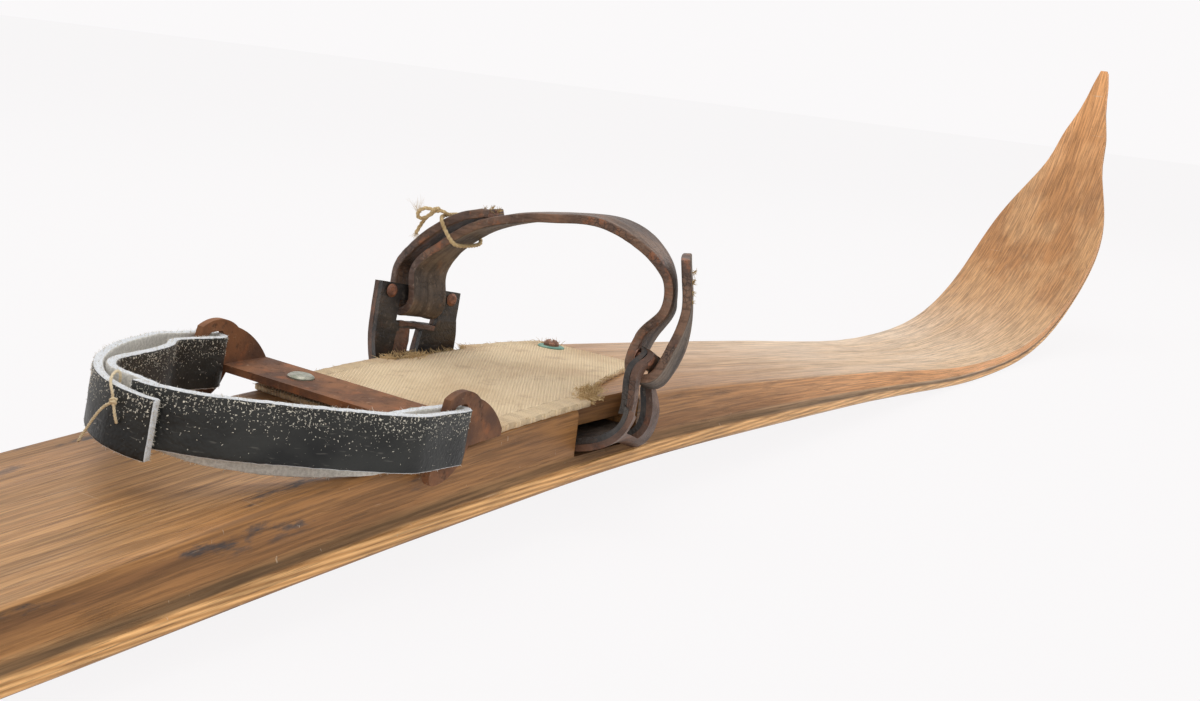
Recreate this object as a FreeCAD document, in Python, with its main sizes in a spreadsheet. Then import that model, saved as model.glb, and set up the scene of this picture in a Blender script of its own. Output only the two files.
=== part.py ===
import FreeCAD, Part
import Sketcher
import math
import os

from FreeCAD import Placement, Rotation, Vector

# An old wooden snow ski with a leather toe strap, an iron heel-strap plate and a new heel strap.
# Millimetres, +Z up, +X towards the turned-up tip, +Y towards the far side of the binding.
# The origin is on the floor, under the middle of the ski's overall length.

doc = FreeCAD.newDocument("snow_ski")
sheet = doc.addObject("Spreadsheet::Sheet", "sizes")

SIZES = [
    ("ski_length", 1700, "overall length, tail to the furthest point of the tip"),
    ("sole_width", 93, "width over the sole flange at the binding"),
    ("flange_out", 2.9, "how far the flange stands out past the side"),
    ("sole_taper", 1.6, "how much narrower each side is away from the binding"),
    ("waist_thickness", 26, "thickness at the mortise"),
    ("tail_thickness", 8.5, "thickness at the tail end"),
    ("tip_thickness", 6.5, "thickness along the turned-up tip"),
    ("camber", 16.7, "height of the sole above the floor at the mortise"),
    ("camber_rear", 530, "mortise to the rear contact"),
    ("camber_front", 458, "mortise to the front contact"),
    ("tip_radius", 333, "bend radius of the tip"),
    ("tip_easement", 150, "length over which the bend starts"),
    ("tip_arc", 474, "length along the sole from the front contact to the end"),
    ("knob_width", 5.4, "width of the narrow nib on the tip"),
    ("sole_groove_width", 14, "guide groove along the sole"),
    ("sole_groove_depth", 1.6, "depth of the guide groove"),
    ("mortise_x", 6, "middle of the mortise"),
    ("mortise_length", 42, "length of the mortise along the ski"),
    ("mortise_height", 8.4, "height of the slot for the two leather layers"),
    ("mortise_floor", 8.6, "wood left under the slot"),
    ("relief_depth", 7, "side relief cut above the slot"),
    ("pad_thickness", 2.4, "canvas foot pad"),
    ("pad_rear", -92, "rear end of the pad"),
    ("pad_front", 86, "front end of the pad"),
    ("pad_half_width", 43, "half width of the pad"),
    ("mortise_strap_width", 40, "leather band through the mortise"),
    ("strap_outer", 2.4, "outer leather layer"),
    ("strap_lining", 2.1, "lining layer"),
    ("layer_gap", 0.1, "gap left between leather layers"),
    ("bridge_height", 6, "leather left above the slot of each end"),
    ("loop_slot_width", 20.5, "width of the slots that take the toe strap"),
    ("loop_slot_height", 8.4, "height of the far slot"),
    ("near_slot_height", 24, "height of the near slot, torn long"),
    ("toe_strap_width", 16.5, "toe strap"),
    ("toe_strap_thickness", 3.4, "toe strap leather"),
    ("loop_gap", 1.6, "play between the toe strap and the bridge it hangs on"),
    ("loop_drop", 5.5, "bridge centre to the inside of the toe strap's loop"),
    ("rivet_diameter", 5.2, "rivet head"),
    ("rivet_shank", 2.6, "rivet shank"),
    ("rivet_head_height", 0.9, "rivet head"),
    ("ear_thickness", 2.5, "iron plate of the ears"),
    ("ear_span", 97, "middle of one ear to the middle of the other"),
    ("bar_width", 22, "cross bar along the ski"),
    ("bar_thickness", 2.5, "cross bar plate"),
    ("bar_below_pivot", 2, "top of the bar below the strap's middle"),
    ("bar_front", 37, "front edge of the bar ahead of the strap's pivot"),
    ("ear_slot_rear", 6.4, "rear edge of the ear slot ahead of the pivot"),
    ("ear_slot_front", 14.4, "front edge of the ear slot ahead of the pivot"),
    ("heel_strap_width", 17.2, "heel strap"),
    ("heel_strap_thickness", 2.8, "heel strap leather"),
    ("strap_lift", 0.8, "the strap rides high in the ears' slots"),
    ("heel_play", 0.35, "running gap beside the ears"),
    ("sleeve_thickness", 0.9, "remnant of an older strap round the far ear"),
    ("iron_screw_head", 9, "flat screw heads of the iron"),
    ("iron_screw_shank", 4.4, "shank of the iron's screws"),
    ("pad_screw_head", 6.6, "domed screw heads of the pad"),
    ("pad_screw_shank", 3, "shank of the pad's screws"),
    ("pad_washer_diameter", 11.5, "copper washer"),
    ("pad_washer_thickness", 0.8, "copper washer"),
    ("heel_twine_diameter", 0.9, "waxed twine on the heel strap"),
    ("toe_twine_diameter", 1.7, "twisted twine round the toe strap"),
    ("seat_gap", 0.15, "gap left under pieces that lie on the ski"),
]
for row, (alias, value, note) in enumerate(SIZES, start=1):
    sheet.set(f"A{row}", note)
    sheet.set(f"B{row}", str(value))
    sheet.setAlias(f"B{row}", alias)
doc.recompute()
size = {alias: float(getattr(sheet, alias)) for alias, _, _ in SIZES}


def add_shape(label, shape):
    """A sub-part whose shape is made with Part's own functions."""
    item = doc.addObject("Part::Feature", label)
    item.Shape = shape
    item.Label = label
    return item


def spline(points):
    curve = Part.BSplineCurve()
    curve.interpolate(points)
    return curve


def along(vector, direction):
    """What is left of a vector once its part along a unit direction is taken away."""
    rest = vector - direction * vector.dot(direction)
    return rest.normalize()


# ---------------------------------------------------------------------------------------------
# The ski: one ash plank. It is cambered, has a coved side above a wider sole flange, and a
# steamed tip that narrows to a small nib. Its sections are lofted along the sole.
# ---------------------------------------------------------------------------------------------
ski_front = size["ski_length"] / 2
ski_rear = -size["ski_length"] / 2
mortise_x = size["mortise_x"]
contact_front = mortise_x + size["camber_front"]
contact_rear = mortise_x - size["camber_rear"]

# height of the sole over the floor, as shares of the camber, against shares of the way from
# the mortise to each contact
REAR_CAMBER = [(1.0, 0.0), (0.8, 0.09), (0.6, 0.27), (0.45, 0.46), (0.3, 0.70), (0.15, 0.88)]
FRONT_CAMBER = [(0.0, 1.0), (0.22, 0.905), (0.4, 0.745), (0.59, 0.55), (0.82, 0.19), (0.95, 0.02)]
TAIL_LIFT = 1.2

# thickness as shares of the difference between the waist and the tail or the tip
REAR_THICKNESS = [(0.0, 1.0), (0.12, 0.96), (0.19, 0.88), (0.29, 0.71), (0.38, 0.54), (0.6, 0.2),
                  (1.0, 0.0)]
FRONT_THICKNESS = [(0.0, 1.0), (0.22, 0.85), (0.55, 0.5), (0.8, 0.29), (1.0, 0.17), (1.3, 0.07), (1.7, 0.0)]


def share(table, at):
    """Straight-line reading of a table of (place, value) pairs."""
    if at <= table[0][0]:
        return table[0][1]
    for (x0, y0), (x1, y1) in zip(table, table[1:]):
        if at <= x1:
            return y0 + (y1 - y0) * (at - x0) / (x1 - x0)
    return table[-1][1]


def tip_point(arc):
    """Point and slope of the sole at an arc length past the front contact."""
    steps = 60
    x, z = contact_front, 0.0
    slope = 0.0
    for step in range(steps):
        s = arc * (step + 0.5) / steps
        easement = size["tip_easement"]
        if s < easement:
            slope = s * s / (2 * easement * size["tip_radius"])
        else:
            slope = (s - easement / 2) / size["tip_radius"]
        x += math.cos(slope) * arc / steps
        z += math.sin(slope) * arc / steps
    return x, z


tip_end_x = tip_point(size["tip_arc"])[0]
tip_scale = (ski_front - contact_front) / (tip_end_x - contact_front)
TIP_ARCS = [0.16, 0.34, 0.5, 0.63, 0.74, 0.83, 0.9, 0.955, 1.0]
sole_points = [Vector(ski_rear, 0, TAIL_LIFT), Vector((ski_rear + contact_rear) / 2, 0, 0)]
for reach, height in REAR_CAMBER:
    sole_points.append(Vector(mortise_x - size["camber_rear"] * reach, 0, size["camber"] * height))
for reach, height in FRONT_CAMBER:
    sole_points.append(Vector(mortise_x + size["camber_front"] * reach, 0, size["camber"] * height))
sole_points.append(Vector(contact_front + 8, 0, 0))
for arc_share in TIP_ARCS:
    x, z = tip_point(size["tip_arc"] * arc_share)
    sole_points.append(Vector(contact_front + (x - contact_front) * tip_scale, 0, z))
sole = spline(sole_points)


def sole_at(x):
    """Parameter, point, tangent and normal of the sole at a place along the ski."""
    low, high = sole.FirstParameter, sole.LastParameter
    for _ in range(40):
        middle = (low + high) / 2
        if sole.value(middle).x < x:
            low = middle
        else:
            high = middle
    point = sole.value(low)
    tangent = sole.tangent(low)[0]
    normal = Vector(-tangent.z, 0, tangent.x)
    return point, tangent, normal


def thickness_at(x):
    waist = size["waist_thickness"]
    if x < mortise_x:
        end = size["tail_thickness"]
        part = share(REAR_THICKNESS, (mortise_x - x) / (mortise_x - ski_rear))
    else:
        end = size["tip_thickness"]
        part = share(FRONT_THICKNESS, (x - mortise_x) / size["camber_front"])
    return end + (waist - end) * part


def top_at(x):
    """Height of the ski's top face near the binding, where the sole is almost level."""
    point, tangent, normal = sole_at(x)
    return point.z + thickness_at(x) / normal.z


# half width over the flange, as shares, against shares of the tip's arc
TIP_OUTLINE = [(0.0, 1.0), (0.5, 1.02), (0.61, 1.0), (0.66, 0.94), (0.71, 0.82), (0.76, 0.65), (0.81, 0.49),
               (0.87, 0.385), (0.91, 0.265), (0.95, 0.175), (0.98, 0.12), (1.0, 0.07)]


def half_width_at(x, arc_share=0.0):
    half = size["sole_width"] / 2
    away = abs(x - mortise_x) / size["camber_front"]
    half -= size["sole_taper"] * min(1.0, away)
    if arc_share <= 0:
        return half
    narrow = size["knob_width"] / 2 / half
    part = share(TIP_OUTLINE, arc_share)
    return half * max(part, narrow)


def ski_section(x, arc_share=0.0):
    """Closed section, square to the sole: groove, flange, cove, side and rounded top edge."""
    point, tangent, normal = sole_at(x)
    thick = thickness_at(x)
    half = half_width_at(x, arc_share)
    fade = max(0.0, 1.0 - arc_share * 2.2)
    out = 0.25 + (size["flange_out"] - 0.25) * fade
    out = min(out, half * 0.2)
    groove = min(size["sole_groove_width"] / 2, half * 0.3)
    deep = max(0.1, size["sole_groove_depth"] * fade) * (0.5 if x < contact_rear else 1.0)
    deep = min(deep, thick * 0.2)
    sole_round = thick * 0.09
    edge = min(thick * 0.05, out * 0.5)
    flange = thick * 0.24
    cove = thick * 0.43
    side = half - out
    top_round = thick * 0.09
    low_bend = 0.3 * sole_round
    outline = [
        ("arc", (0, deep), (groove, 0)),
        ("line", (half - sole_round, 0)),
        ("arc", (half - low_bend, low_bend), (half, sole_round)),
        ("line", (half, flange - edge)),
        ("arc", (half - 0.3 * edge, flange - 0.3 * edge), (half - edge, flange)),
        ("arc", (side + 0.22 * out, flange + 0.25 * (cove - flange)), (side, cove)),
        ("line", (side, thick - top_round)),
        ("arc", (side - 0.3 * top_round, thick - 0.3 * top_round), (side - top_round, thick)),
    ]

    def place(y, n):
        return point + normal * n + Vector(0, y, 0)

    right = []
    at = (-groove, 0)
    for piece in outline:
        if piece[0] == "arc":
            right.append(Part.Arc(place(*at), place(*piece[1]), place(*piece[2])).toShape())
        else:
            right.append(Part.LineSegment(place(*at), place(*piece[1])).toShape())
        at = piece[-1]
    top = Part.LineSegment(place(*at), place(-at[0], at[1])).toShape()
    left = []
    for piece, start in zip(outline[:0:-1], [step[-1] for step in outline[-2::-1]]):
        here = (-piece[-1][0], piece[-1][1])
        there = (-start[0], start[1])
        if piece[0] == "arc":
            middle = (-piece[1][0], piece[1][1])
            left.append(Part.Arc(place(*here), place(*middle), place(*there)).toShape())
        else:
            left.append(Part.LineSegment(place(*here), place(*there)).toShape())
    return Part.Wire(right + [top] + left)


TIP_SECTIONS = [0.08, 0.16, 0.34, 0.5, 0.61, 0.66, 0.71, 0.76, 0.81, 0.84, 0.87, 0.91, 0.95, 0.98, 1.0]
STATIONS = [ski_rear, (ski_rear + contact_rear) / 2, contact_rear]
STATIONS += [mortise_x - size["camber_rear"] * reach for reach in (0.8, 0.6, 0.45, 0.3, 0.15)]
STATIONS += [mortise_x + size["camber_front"] * reach for reach in (0.0, 0.22, 0.4, 0.6, 0.8, 0.96)]
sections = [ski_section(x) for x in STATIONS]
for arc_share in TIP_SECTIONS:
    x, z = tip_point(size["tip_arc"] * arc_share)
    sections.append(ski_section(contact_front + (x - contact_front) * tip_scale, arc_share))
plank = add_shape("plank", Part.makeLoft(sections, True, False))


def cutter(name, kind, at, **sizes):
    """A Part primitive whose sizes follow expressions."""
    item = doc.addObject(kind, name)
    item.Placement = Placement(at, Rotation())
    for prop, expression in sizes.items():
        item.setExpression(prop, expression)
    return item


slot_low = sole_at(mortise_x)[0].z + size["mortise_floor"]
slot_rear = mortise_x - size["mortise_length"] / 2
half_sole = size["sole_width"] / 2
relief_y = half_sole - size["flange_out"] - size["relief_depth"]
slot = cutter("slot_tool", "Part::Box", Vector(slot_rear, -half_sole - 5, slot_low),
              Length="sizes.mortise_length", Width="sizes.sole_width + 10", Height="sizes.mortise_height")
reliefs = []
for side_name, y in (("far", relief_y), ("near", -relief_y - 40)):
    reliefs.append(cutter(f"{side_name}_relief_tool", "Part::Box", Vector(slot_rear, y, slot_low),
                          Length="sizes.mortise_length", Width="40", Height="sizes.waist_thickness"))
floor_tool = cutter("floor_tool", "Part::Box", Vector(ski_rear - 50, -100, -20),
                    Length="sizes.ski_length + 100", Width="200", Height="20")

# ---------------------------------------------------------------------------------------------
# The heel iron: a plate bent up into two ears, lying a little askew and lifted at the far side.
# Everything on it is built about the heel strap's pivot line, then put in place.
# ---------------------------------------------------------------------------------------------
PIVOT_NEAR = Vector(-103, -48.5, 45.8)
IRON_SKEW = 4.72
IRON_LIFT = 2.66
STRAP_RISE = 4.6
iron_middle = PIVOT_NEAR + Vector(-4, 48.5, 2.25)
iron_turn = Rotation(Vector(0, 0, 1), IRON_SKEW).multiply(Rotation(Vector(1, 0, 0), IRON_LIFT))
iron_place = Placement(iron_middle, iron_turn)
strap_middle = iron_middle + Vector(0, 0, size["strap_lift"])
strap_place = Placement(strap_middle, iron_turn.multiply(Rotation(Vector(0, 1, 0), STRAP_RISE)))
ear_y = size["ear_span"] / 2
ear_half = size["ear_thickness"] / 2
slot_half = size["heel_strap_width"] / 2 + 1.1
bar_top = -size["bar_below_pivot"]
bar_low = bar_top - size["bar_thickness"]


def ear_face():
    """Side view of an ear, x ahead of the pivot and z above it: a hooked rear leg and a fin."""
    front = size["bar_front"]
    crown = slot_half + 4
    foot = -slot_half - 4.6
    outline = [
        Part.Arc(Vector(-2.6, 0, -slot_half), Vector(-2.2, 0, foot + 1.5), Vector(1.0, 0, foot)),
        Part.Arc(Vector(1.0, 0, foot), Vector(8.5, 0, foot + 1.4), Vector(14.5, 0, -slot_half + 0.6)),
        Part.LineSegment(Vector(14.5, 0, -slot_half + 0.6), Vector(17.5, 0, bar_low)),
        Part.LineSegment(Vector(17.5, 0, bar_low), Vector(front, 0, bar_low)),
        Part.LineSegment(Vector(front, 0, bar_low), Vector(front, 0, bar_top)),
        Part.Arc(Vector(front, 0, bar_top), Vector(30, 0, 5.2), Vector(21, 0, slot_half + 0.4)),
        Part.Arc(Vector(21, 0, slot_half + 0.4), Vector(12.5, 0, crown), Vector(3.6, 0, slot_half + 2.2)),
        Part.LineSegment(Vector(3.6, 0, slot_half + 2.2), Vector(-2.6, 0, -slot_half)),
    ]
    return Part.Face(Part.Wire([edge.toShape() for edge in outline]))


def ear(y):
    solid = ear_face().extrude(Vector(0, size["ear_thickness"], 0))
    solid.translate(Vector(0, y - ear_half, 0))
    wide = size["ear_slot_front"] - size["ear_slot_rear"]
    hole = Part.makeBox(wide, 20, 2 * slot_half, Vector(size["ear_slot_rear"], y - 10, -slot_half))
    upright = [edge for edge in hole.Edges if abs(edge.tangentAt(edge.FirstParameter).y) > 0.9]
    hole = hole.makeFillet(2.2, upright)
    return solid.cut(hole)


bar = Part.makeBox(size["bar_width"], size["ear_span"] + size["ear_thickness"], size["bar_thickness"],
                   Vector(size["bar_front"] - size["bar_width"], -ear_y - ear_half, bar_low))
iron = bar.fuse([ear(-ear_y), ear(ear_y)]).removeSplitter()
IRON_SCREWS = [("far", 23.0), ("near", -25.0)]
screw_x = size["bar_front"] - size["bar_width"] / 2
for _, y in IRON_SCREWS:
    hole = Part.makeCylinder(size["iron_screw_shank"] / 2 + 0.15, 10, Vector(screw_x, y, bar_low - 5))
    iron = iron.cut(hole)
iron.Placement = iron_place
cross_iron = add_shape("cross_iron", iron)

# ---------------------------------------------------------------------------------------------
# Screws and washers, turned about their own axes in PartDesign bodies.
# ---------------------------------------------------------------------------------------------


def origin_plane(body, role):
    return next(feature for feature in body.Origin.OriginFeatures if feature.Role == role)


def profile_sketch(body, name, role, points):
    """A closed outline whose corners follow expressions, measured from the body's own origin."""
    sketch = body.newObject("Sketcher::SketchObject", name)
    sketch.AttachmentSupport = [(origin_plane(body, role), "")]
    sketch.MapMode = "FlatFace"
    spots = [(float(sheet.evalExpression(x)), float(sheet.evalExpression(z))) for x, z in points]
    for index, (x, z) in enumerate(spots):
        to_x, to_z = spots[(index + 1) % len(spots)]
        sketch.addGeometry(Part.LineSegment(Vector(x, z, 0), Vector(to_x, to_z, 0)))
    for index in range(len(spots)):
        after = (index + 1) % len(spots)
        sketch.addConstraint(Sketcher.Constraint("Coincident", index, 2, after, 1))
    for index, ((x_rule, z_rule), (x, z)) in enumerate(zip(points, spots)):
        for kind, rule, at in (("DistanceX", x_rule, x), ("DistanceY", z_rule, z)):
            number = sketch.addConstraint(Sketcher.Constraint(kind, -1, 1, index, 1, at))
            sketch.setExpression(f"Constraints[{number}]", rule)
    return sketch


def turned(label, points):
    """A body of revolution about Z from a half section of (radius, height) expressions."""
    body = doc.addObject("PartDesign::Body", label)
    body.Label = label
    sketch = profile_sketch(body, label + "_section", "XZ_Plane", points)
    turn = body.newObject("PartDesign::Revolution", label + "_turn")
    turn.Profile = sketch
    turn.ReferenceAxis = (sketch, ["V_Axis"])
    turn.Angle = 360
    return body


def driver_slot(body, label, width, depth, top):
    """The screwdriver slot across a head."""
    rules = [(f"-sizes.{width}", f"{top} - {depth}"), (f"sizes.{width}", f"{top} - {depth}"),
             (f"sizes.{width}", f"{top} + 1"), (f"-sizes.{width}", f"{top} + 1")]
    sketch = profile_sketch(body, label + "_slot_section", "XZ_Plane", rules)
    cut = body.newObject("PartDesign::Pocket", label + "_slot")
    cut.Profile = sketch
    cut.Type = 0
    cut.Length = 1.0
    cut.Midplane = True
    return cut


# how deep the screws go, as shares of the ski's thickness at the mortise, and the room round them
IRON_SCREW_REACH = 0.6
PAD_SCREW_REACH = 0.5
BORE_PLAY = 0.05
BORE_PAST_POINT = 0.5
SHANK_PLAY = 0.2
iron_up = iron_turn.multVec(Vector(0, 0, 1))
iron_screw_seats = {}
for side_name, y in IRON_SCREWS:
    seat = iron_place.multVec(Vector(screw_x, y, bar_top))
    iron_screw_seats[side_name] = seat
    label = f"iron_screw_{side_name}"
    body = turned(label, [
        ("0", f"-sizes.waist_thickness * {IRON_SCREW_REACH}"),
        ("sizes.iron_screw_shank * 0.2", f"-sizes.waist_thickness * {IRON_SCREW_REACH}"),
        ("sizes.iron_screw_shank / 2", "-sizes.waist_thickness * 0.45"),
        ("sizes.iron_screw_shank / 2", "0"),
        ("sizes.iron_screw_head / 2", "0"), ("sizes.iron_screw_head / 2", "0.5"),
        ("sizes.iron_screw_head / 2 - 0.8", "1.1"), ("0", "1.3")])
    body.Placement = Placement(seat, iron_turn)

PAD_SCREW_X = 72.0
PAD_SCREW_Y = 27.0
pad_top = top_at(PAD_SCREW_X) + size["seat_gap"] + size["pad_thickness"]
washer = turned("pad_washer", [
    (f"sizes.pad_screw_shank / 2 + {SHANK_PLAY}", "0"), ("sizes.pad_washer_diameter / 2", "0"),
    ("sizes.pad_washer_diameter / 2", "sizes.pad_washer_thickness * 0.6"),
    ("sizes.pad_washer_diameter / 2 - 0.6", "sizes.pad_washer_thickness"),
    (f"sizes.pad_screw_shank / 2 + {SHANK_PLAY}", "sizes.pad_washer_thickness")])
pad_slope = math.degrees(math.atan2(top_at(PAD_SCREW_X + 5) - top_at(PAD_SCREW_X - 5), 10))
pad_turn = Rotation(Vector(0, 1, 0), -pad_slope)
pad_up = pad_turn.multVec(Vector(0, 0, 1))
washer_seat = Vector(PAD_SCREW_X, PAD_SCREW_Y, pad_top + 0.1)
washer.Placement = Placement(washer_seat, pad_turn)
pad_screw = turned("pad_screw", [
    ("0", f"-sizes.waist_thickness * {PAD_SCREW_REACH}"),
    ("sizes.pad_screw_shank * 0.2", f"-sizes.waist_thickness * {PAD_SCREW_REACH}"),
    ("sizes.pad_screw_shank / 2", "-sizes.waist_thickness * 0.4"), ("sizes.pad_screw_shank / 2", "0"),
    ("sizes.pad_screw_head / 2", "0"), ("sizes.pad_screw_head / 2", "0.9"),
    ("sizes.pad_screw_head * 0.36", "2.1"), ("sizes.pad_screw_head * 0.16", "2.6"), ("0", "2.7")])
doc.recompute()
driver_slot(pad_screw, "pad_screw", "pad_screw_head", "1.1", "2.7")
screw_seat = washer_seat + pad_up * (size["pad_washer_thickness"] + 0.05)
DRIVER_SLOT_TURN = 35
pad_screw.Placement = Placement(screw_seat, pad_turn.multiply(Rotation(Vector(0, 0, 1), DRIVER_SLOT_TURN)))


HOLE_SEAM = 37


def screw_hole(name, seat, up, deep, radius_rule):
    tool = doc.addObject("Part::Cylinder", name)
    tool.setExpression("Radius", radius_rule)
    tool.Height = deep + 12
    turn = Rotation(Vector(0, 0, 1), up).multiply(Rotation(Vector(0, 0, 1), HOLE_SEAM))
    tool.Placement = Placement(seat - up * deep, turn)
    return tool


holes = []
for side_name, seat in iron_screw_seats.items():
    deep = size["waist_thickness"] * IRON_SCREW_REACH + BORE_PAST_POINT
    holes.append(screw_hole(f"iron_hole_{side_name}", seat, iron_up, deep,
                            f"sizes.iron_screw_shank / 2 + {BORE_PLAY}"))
holes.append(screw_hole("pad_hole", screw_seat, pad_up,
                        size["waist_thickness"] * PAD_SCREW_REACH + BORE_PAST_POINT,
                        f"sizes.pad_screw_shank / 2 + {BORE_PLAY}"))
doc.recompute()
carving = doc.addObject("Part::MultiFuse", "carving_tools")
carving.Shapes = [slot] + reliefs + [floor_tool]
carved = doc.addObject("Part::Cut", "carved_plank")
carved.Base = plank
carved.Tool = carving
boring = doc.addObject("Part::Compound", "boring_tools")
boring.Links = holes
ski = doc.addObject("Part::Cut", "ski")
ski.Base = carved
ski.Tool = boring
ski.Label = "ski"
doc.recompute()

# ---------------------------------------------------------------------------------------------
# The foot pad: a canvas web laid on the ski under the iron, torn away at its near front corner.
# ---------------------------------------------------------------------------------------------
pad_half = size["pad_half_width"]
pad_xs = [size["pad_rear"] + (size["pad_front"] - size["pad_rear"]) * k / 6 for k in range(7)]
under = [Vector(x, 0, top_at(x) + size["seat_gap"]) for x in pad_xs]
over = [point + Vector(0, 0, size["pad_thickness"]) for point in reversed(under)]
pad_edge = Part.Wire([
    spline(under).toShape(), Part.LineSegment(under[-1], over[0]).toShape(),
    spline(over).toShape(), Part.LineSegment(over[-1], under[0]).toShape()])
pad_slab = Part.Face(pad_edge).extrude(Vector(0, 2 * pad_half + 4, 0))
pad_slab.translate(Vector(0, -pad_half - 2, 0))
pad_rear, pad_front = size["pad_rear"], size["pad_front"]
torn = mortise_x - size["mortise_length"] / 2 + 8
PAD_OUTLINE = [
    (pad_rear, -pad_half + 3), (pad_rear + 24, -pad_half), (torn, -pad_half), (torn + 6, -pad_half + 5),
    (torn + 26, -pad_half + 15), (torn + 52, -pad_half + 23), (pad_front - 2, -pad_half + 34),
    (pad_front, 0), (pad_front - 1, pad_half - 1), (torn + 36, pad_half), (torn + 33, pad_half - 5),
    (torn + 4, pad_half - 6), (torn - 11, pad_half - 5), (torn - 15, pad_half), (pad_rear + 6, pad_half)]
corners = [Vector(x, y, 0) for x, y in PAD_OUTLINE]
pad_plan = Part.Face(Part.makePolygon(corners + corners[:1])).extrude(Vector(0, 0, 80))
pad_shape = pad_slab.common(pad_plan)
pad_bore = Part.makeCylinder(size["pad_screw_shank"] / 2 + SHANK_PLAY, 30, washer_seat - Vector(0, 0, 15))
pad_shape = pad_shape.cut(pad_bore)
iron_bore_radius = size["iron_screw_shank"] / 2 + SHANK_PLAY
for seat in iron_screw_seats.values():
    pad_shape = pad_shape.cut(Part.makeCylinder(iron_bore_radius, 40, seat - iron_up * 30, iron_up))
# the pad is pressed thin where the iron's bar crosses it
BAR_MARGIN = 0.5
under_bar = Part.makeBox(size["bar_width"] + 2 * BAR_MARGIN, size["ear_span"] + 8, 12,
                         Vector(size["bar_front"] - size["bar_width"] - BAR_MARGIN, -ear_y - 4,
                                bar_low - size["seat_gap"]))
under_bar.Placement = iron_place
pad_shape = pad_shape.cut([under_bar, ski.Shape])
foot_pad = add_shape("foot_pad", pad_shape)


# ---------------------------------------------------------------------------------------------
# Leather straps: a flat section lofted along a curve, turned to the given width directions.
# ---------------------------------------------------------------------------------------------
def strap(stations, thickness, low=0.0, count=24, ruled=False):
    """stations: (middle of the strap, direction across it, width). low: offset of one face."""
    middle = spline([station[0] for station in stations])
    knots = [middle.parameter(station[0]) for station in stations]
    sections = []
    for step in range(count + 1):
        u = knots[0] + (knots[-1] - knots[0]) * step / count
        index = max(k for k in range(len(knots) - 1) if knots[k] <= u + 1e-9)
        mix = (u - knots[index]) / (knots[index + 1] - knots[index])
        across = stations[index][1] * (1 - mix) + stations[index + 1][1] * mix
        wide = stations[index][2] * (1 - mix) + stations[index + 1][2] * mix
        tangent = middle.tangent(u)[0]
        across = along(across, tangent)
        out = across.cross(tangent)
        at = middle.value(u)
        corners = [at + across * (wide * a) + out * b for a, b in (
            (-0.5, low), (0.5, low), (0.5, low + thickness), (-0.5, low + thickness))]
        sections.append(Part.makePolygon(corners + corners[:1]))
    return Part.makeLoft(sections, True, ruled)


# The band through the mortise: outer leather and lining, slotted at both upturned ends.
NEAR_BRIDGE = Vector(17, -52, 58)
FAR_BRIDGE = Vector(1.5, 45.6, 66.6)
near_across = Vector(0.92, 0.245, -0.307).normalize()
near_up = along(Vector(0.324, -0.183, 0.93), near_across)
near_out = near_across.cross(near_up)
far_across = Vector(0.969, -0.2, -0.144).normalize()
far_up = along(Vector(-0.06, 0.08, 1.0), far_across)
far_out = far_up.cross(far_across)
band = size["mortise_strap_width"]
outer_t, lining_t = size["strap_outer"], size["strap_lining"]
band_t = outer_t + lining_t + size["layer_gap"]
bridge = size["bridge_height"]
band_low = slot_low + band_t / 2 + 0.8
level = Vector(1, 0, 0)
side_y = half_sole - size["flange_out"]
near_bend = Vector(mortise_x + 6.5, -side_y - 8.2, band_low + 8.2)
far_bend = Vector(mortise_x - 3, side_y + 2.2, band_low + 15)
band_stations = [
    (NEAR_BRIDGE + near_up * (bridge / 2), near_across, band * 0.8),
    (NEAR_BRIDGE + near_up * 0.2, near_across, band * 0.81),
    (NEAR_BRIDGE - near_up * 2.8, near_across, band * 0.82),
    (NEAR_BRIDGE - near_up * 9, near_across, band * 0.85),
    (near_bend, Vector(0.95, 0.17, -0.2), band * 0.92),
    (Vector(mortise_x, -side_y - 1.6, band_low + 1.6), Vector(1, 0.03, -0.02), band),
    (Vector(mortise_x, -side_y + 7, band_low), level, band),
    (Vector(mortise_x, -side_y + 12, band_low), level, band),
    (Vector(mortise_x, -side_y / 3, band_low), level, band),
    (Vector(mortise_x, side_y / 3, band_low), level, band),
    (Vector(mortise_x, side_y - 12, band_low), level, band),
    (Vector(mortise_x, side_y - 7, band_low), level, band),
    (Vector(mortise_x, side_y - 1.8, band_low + 2.2), Vector(0.999, -0.03, 0), band),
    (Vector(mortise_x - 0.7, side_y + 0.9, band_low + 6.6), Vector(0.99, -0.07, -0.03), band),
    (far_bend, Vector(0.97, -0.16, -0.08), band),
    (FAR_BRIDGE - far_up * 9, far_across, band),
    (FAR_BRIDGE - far_up * 2.8, far_across, band),
    (FAR_BRIDGE + far_up * 0.2, far_across, band),
    (FAR_BRIDGE + far_up * (bridge / 2), far_across, band),
]


def slot_box(centre, across, up, out, width, top, height):
    """A box-shaped hole in an upturned end, measured down from the bridge's middle."""
    box = Part.makeBox(width, 16, height, Vector(-width / 2, -8, -top - height))
    turn = Rotation(across, out, up, "XYZ")
    box.Placement = Placement(centre, turn)
    return box


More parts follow.
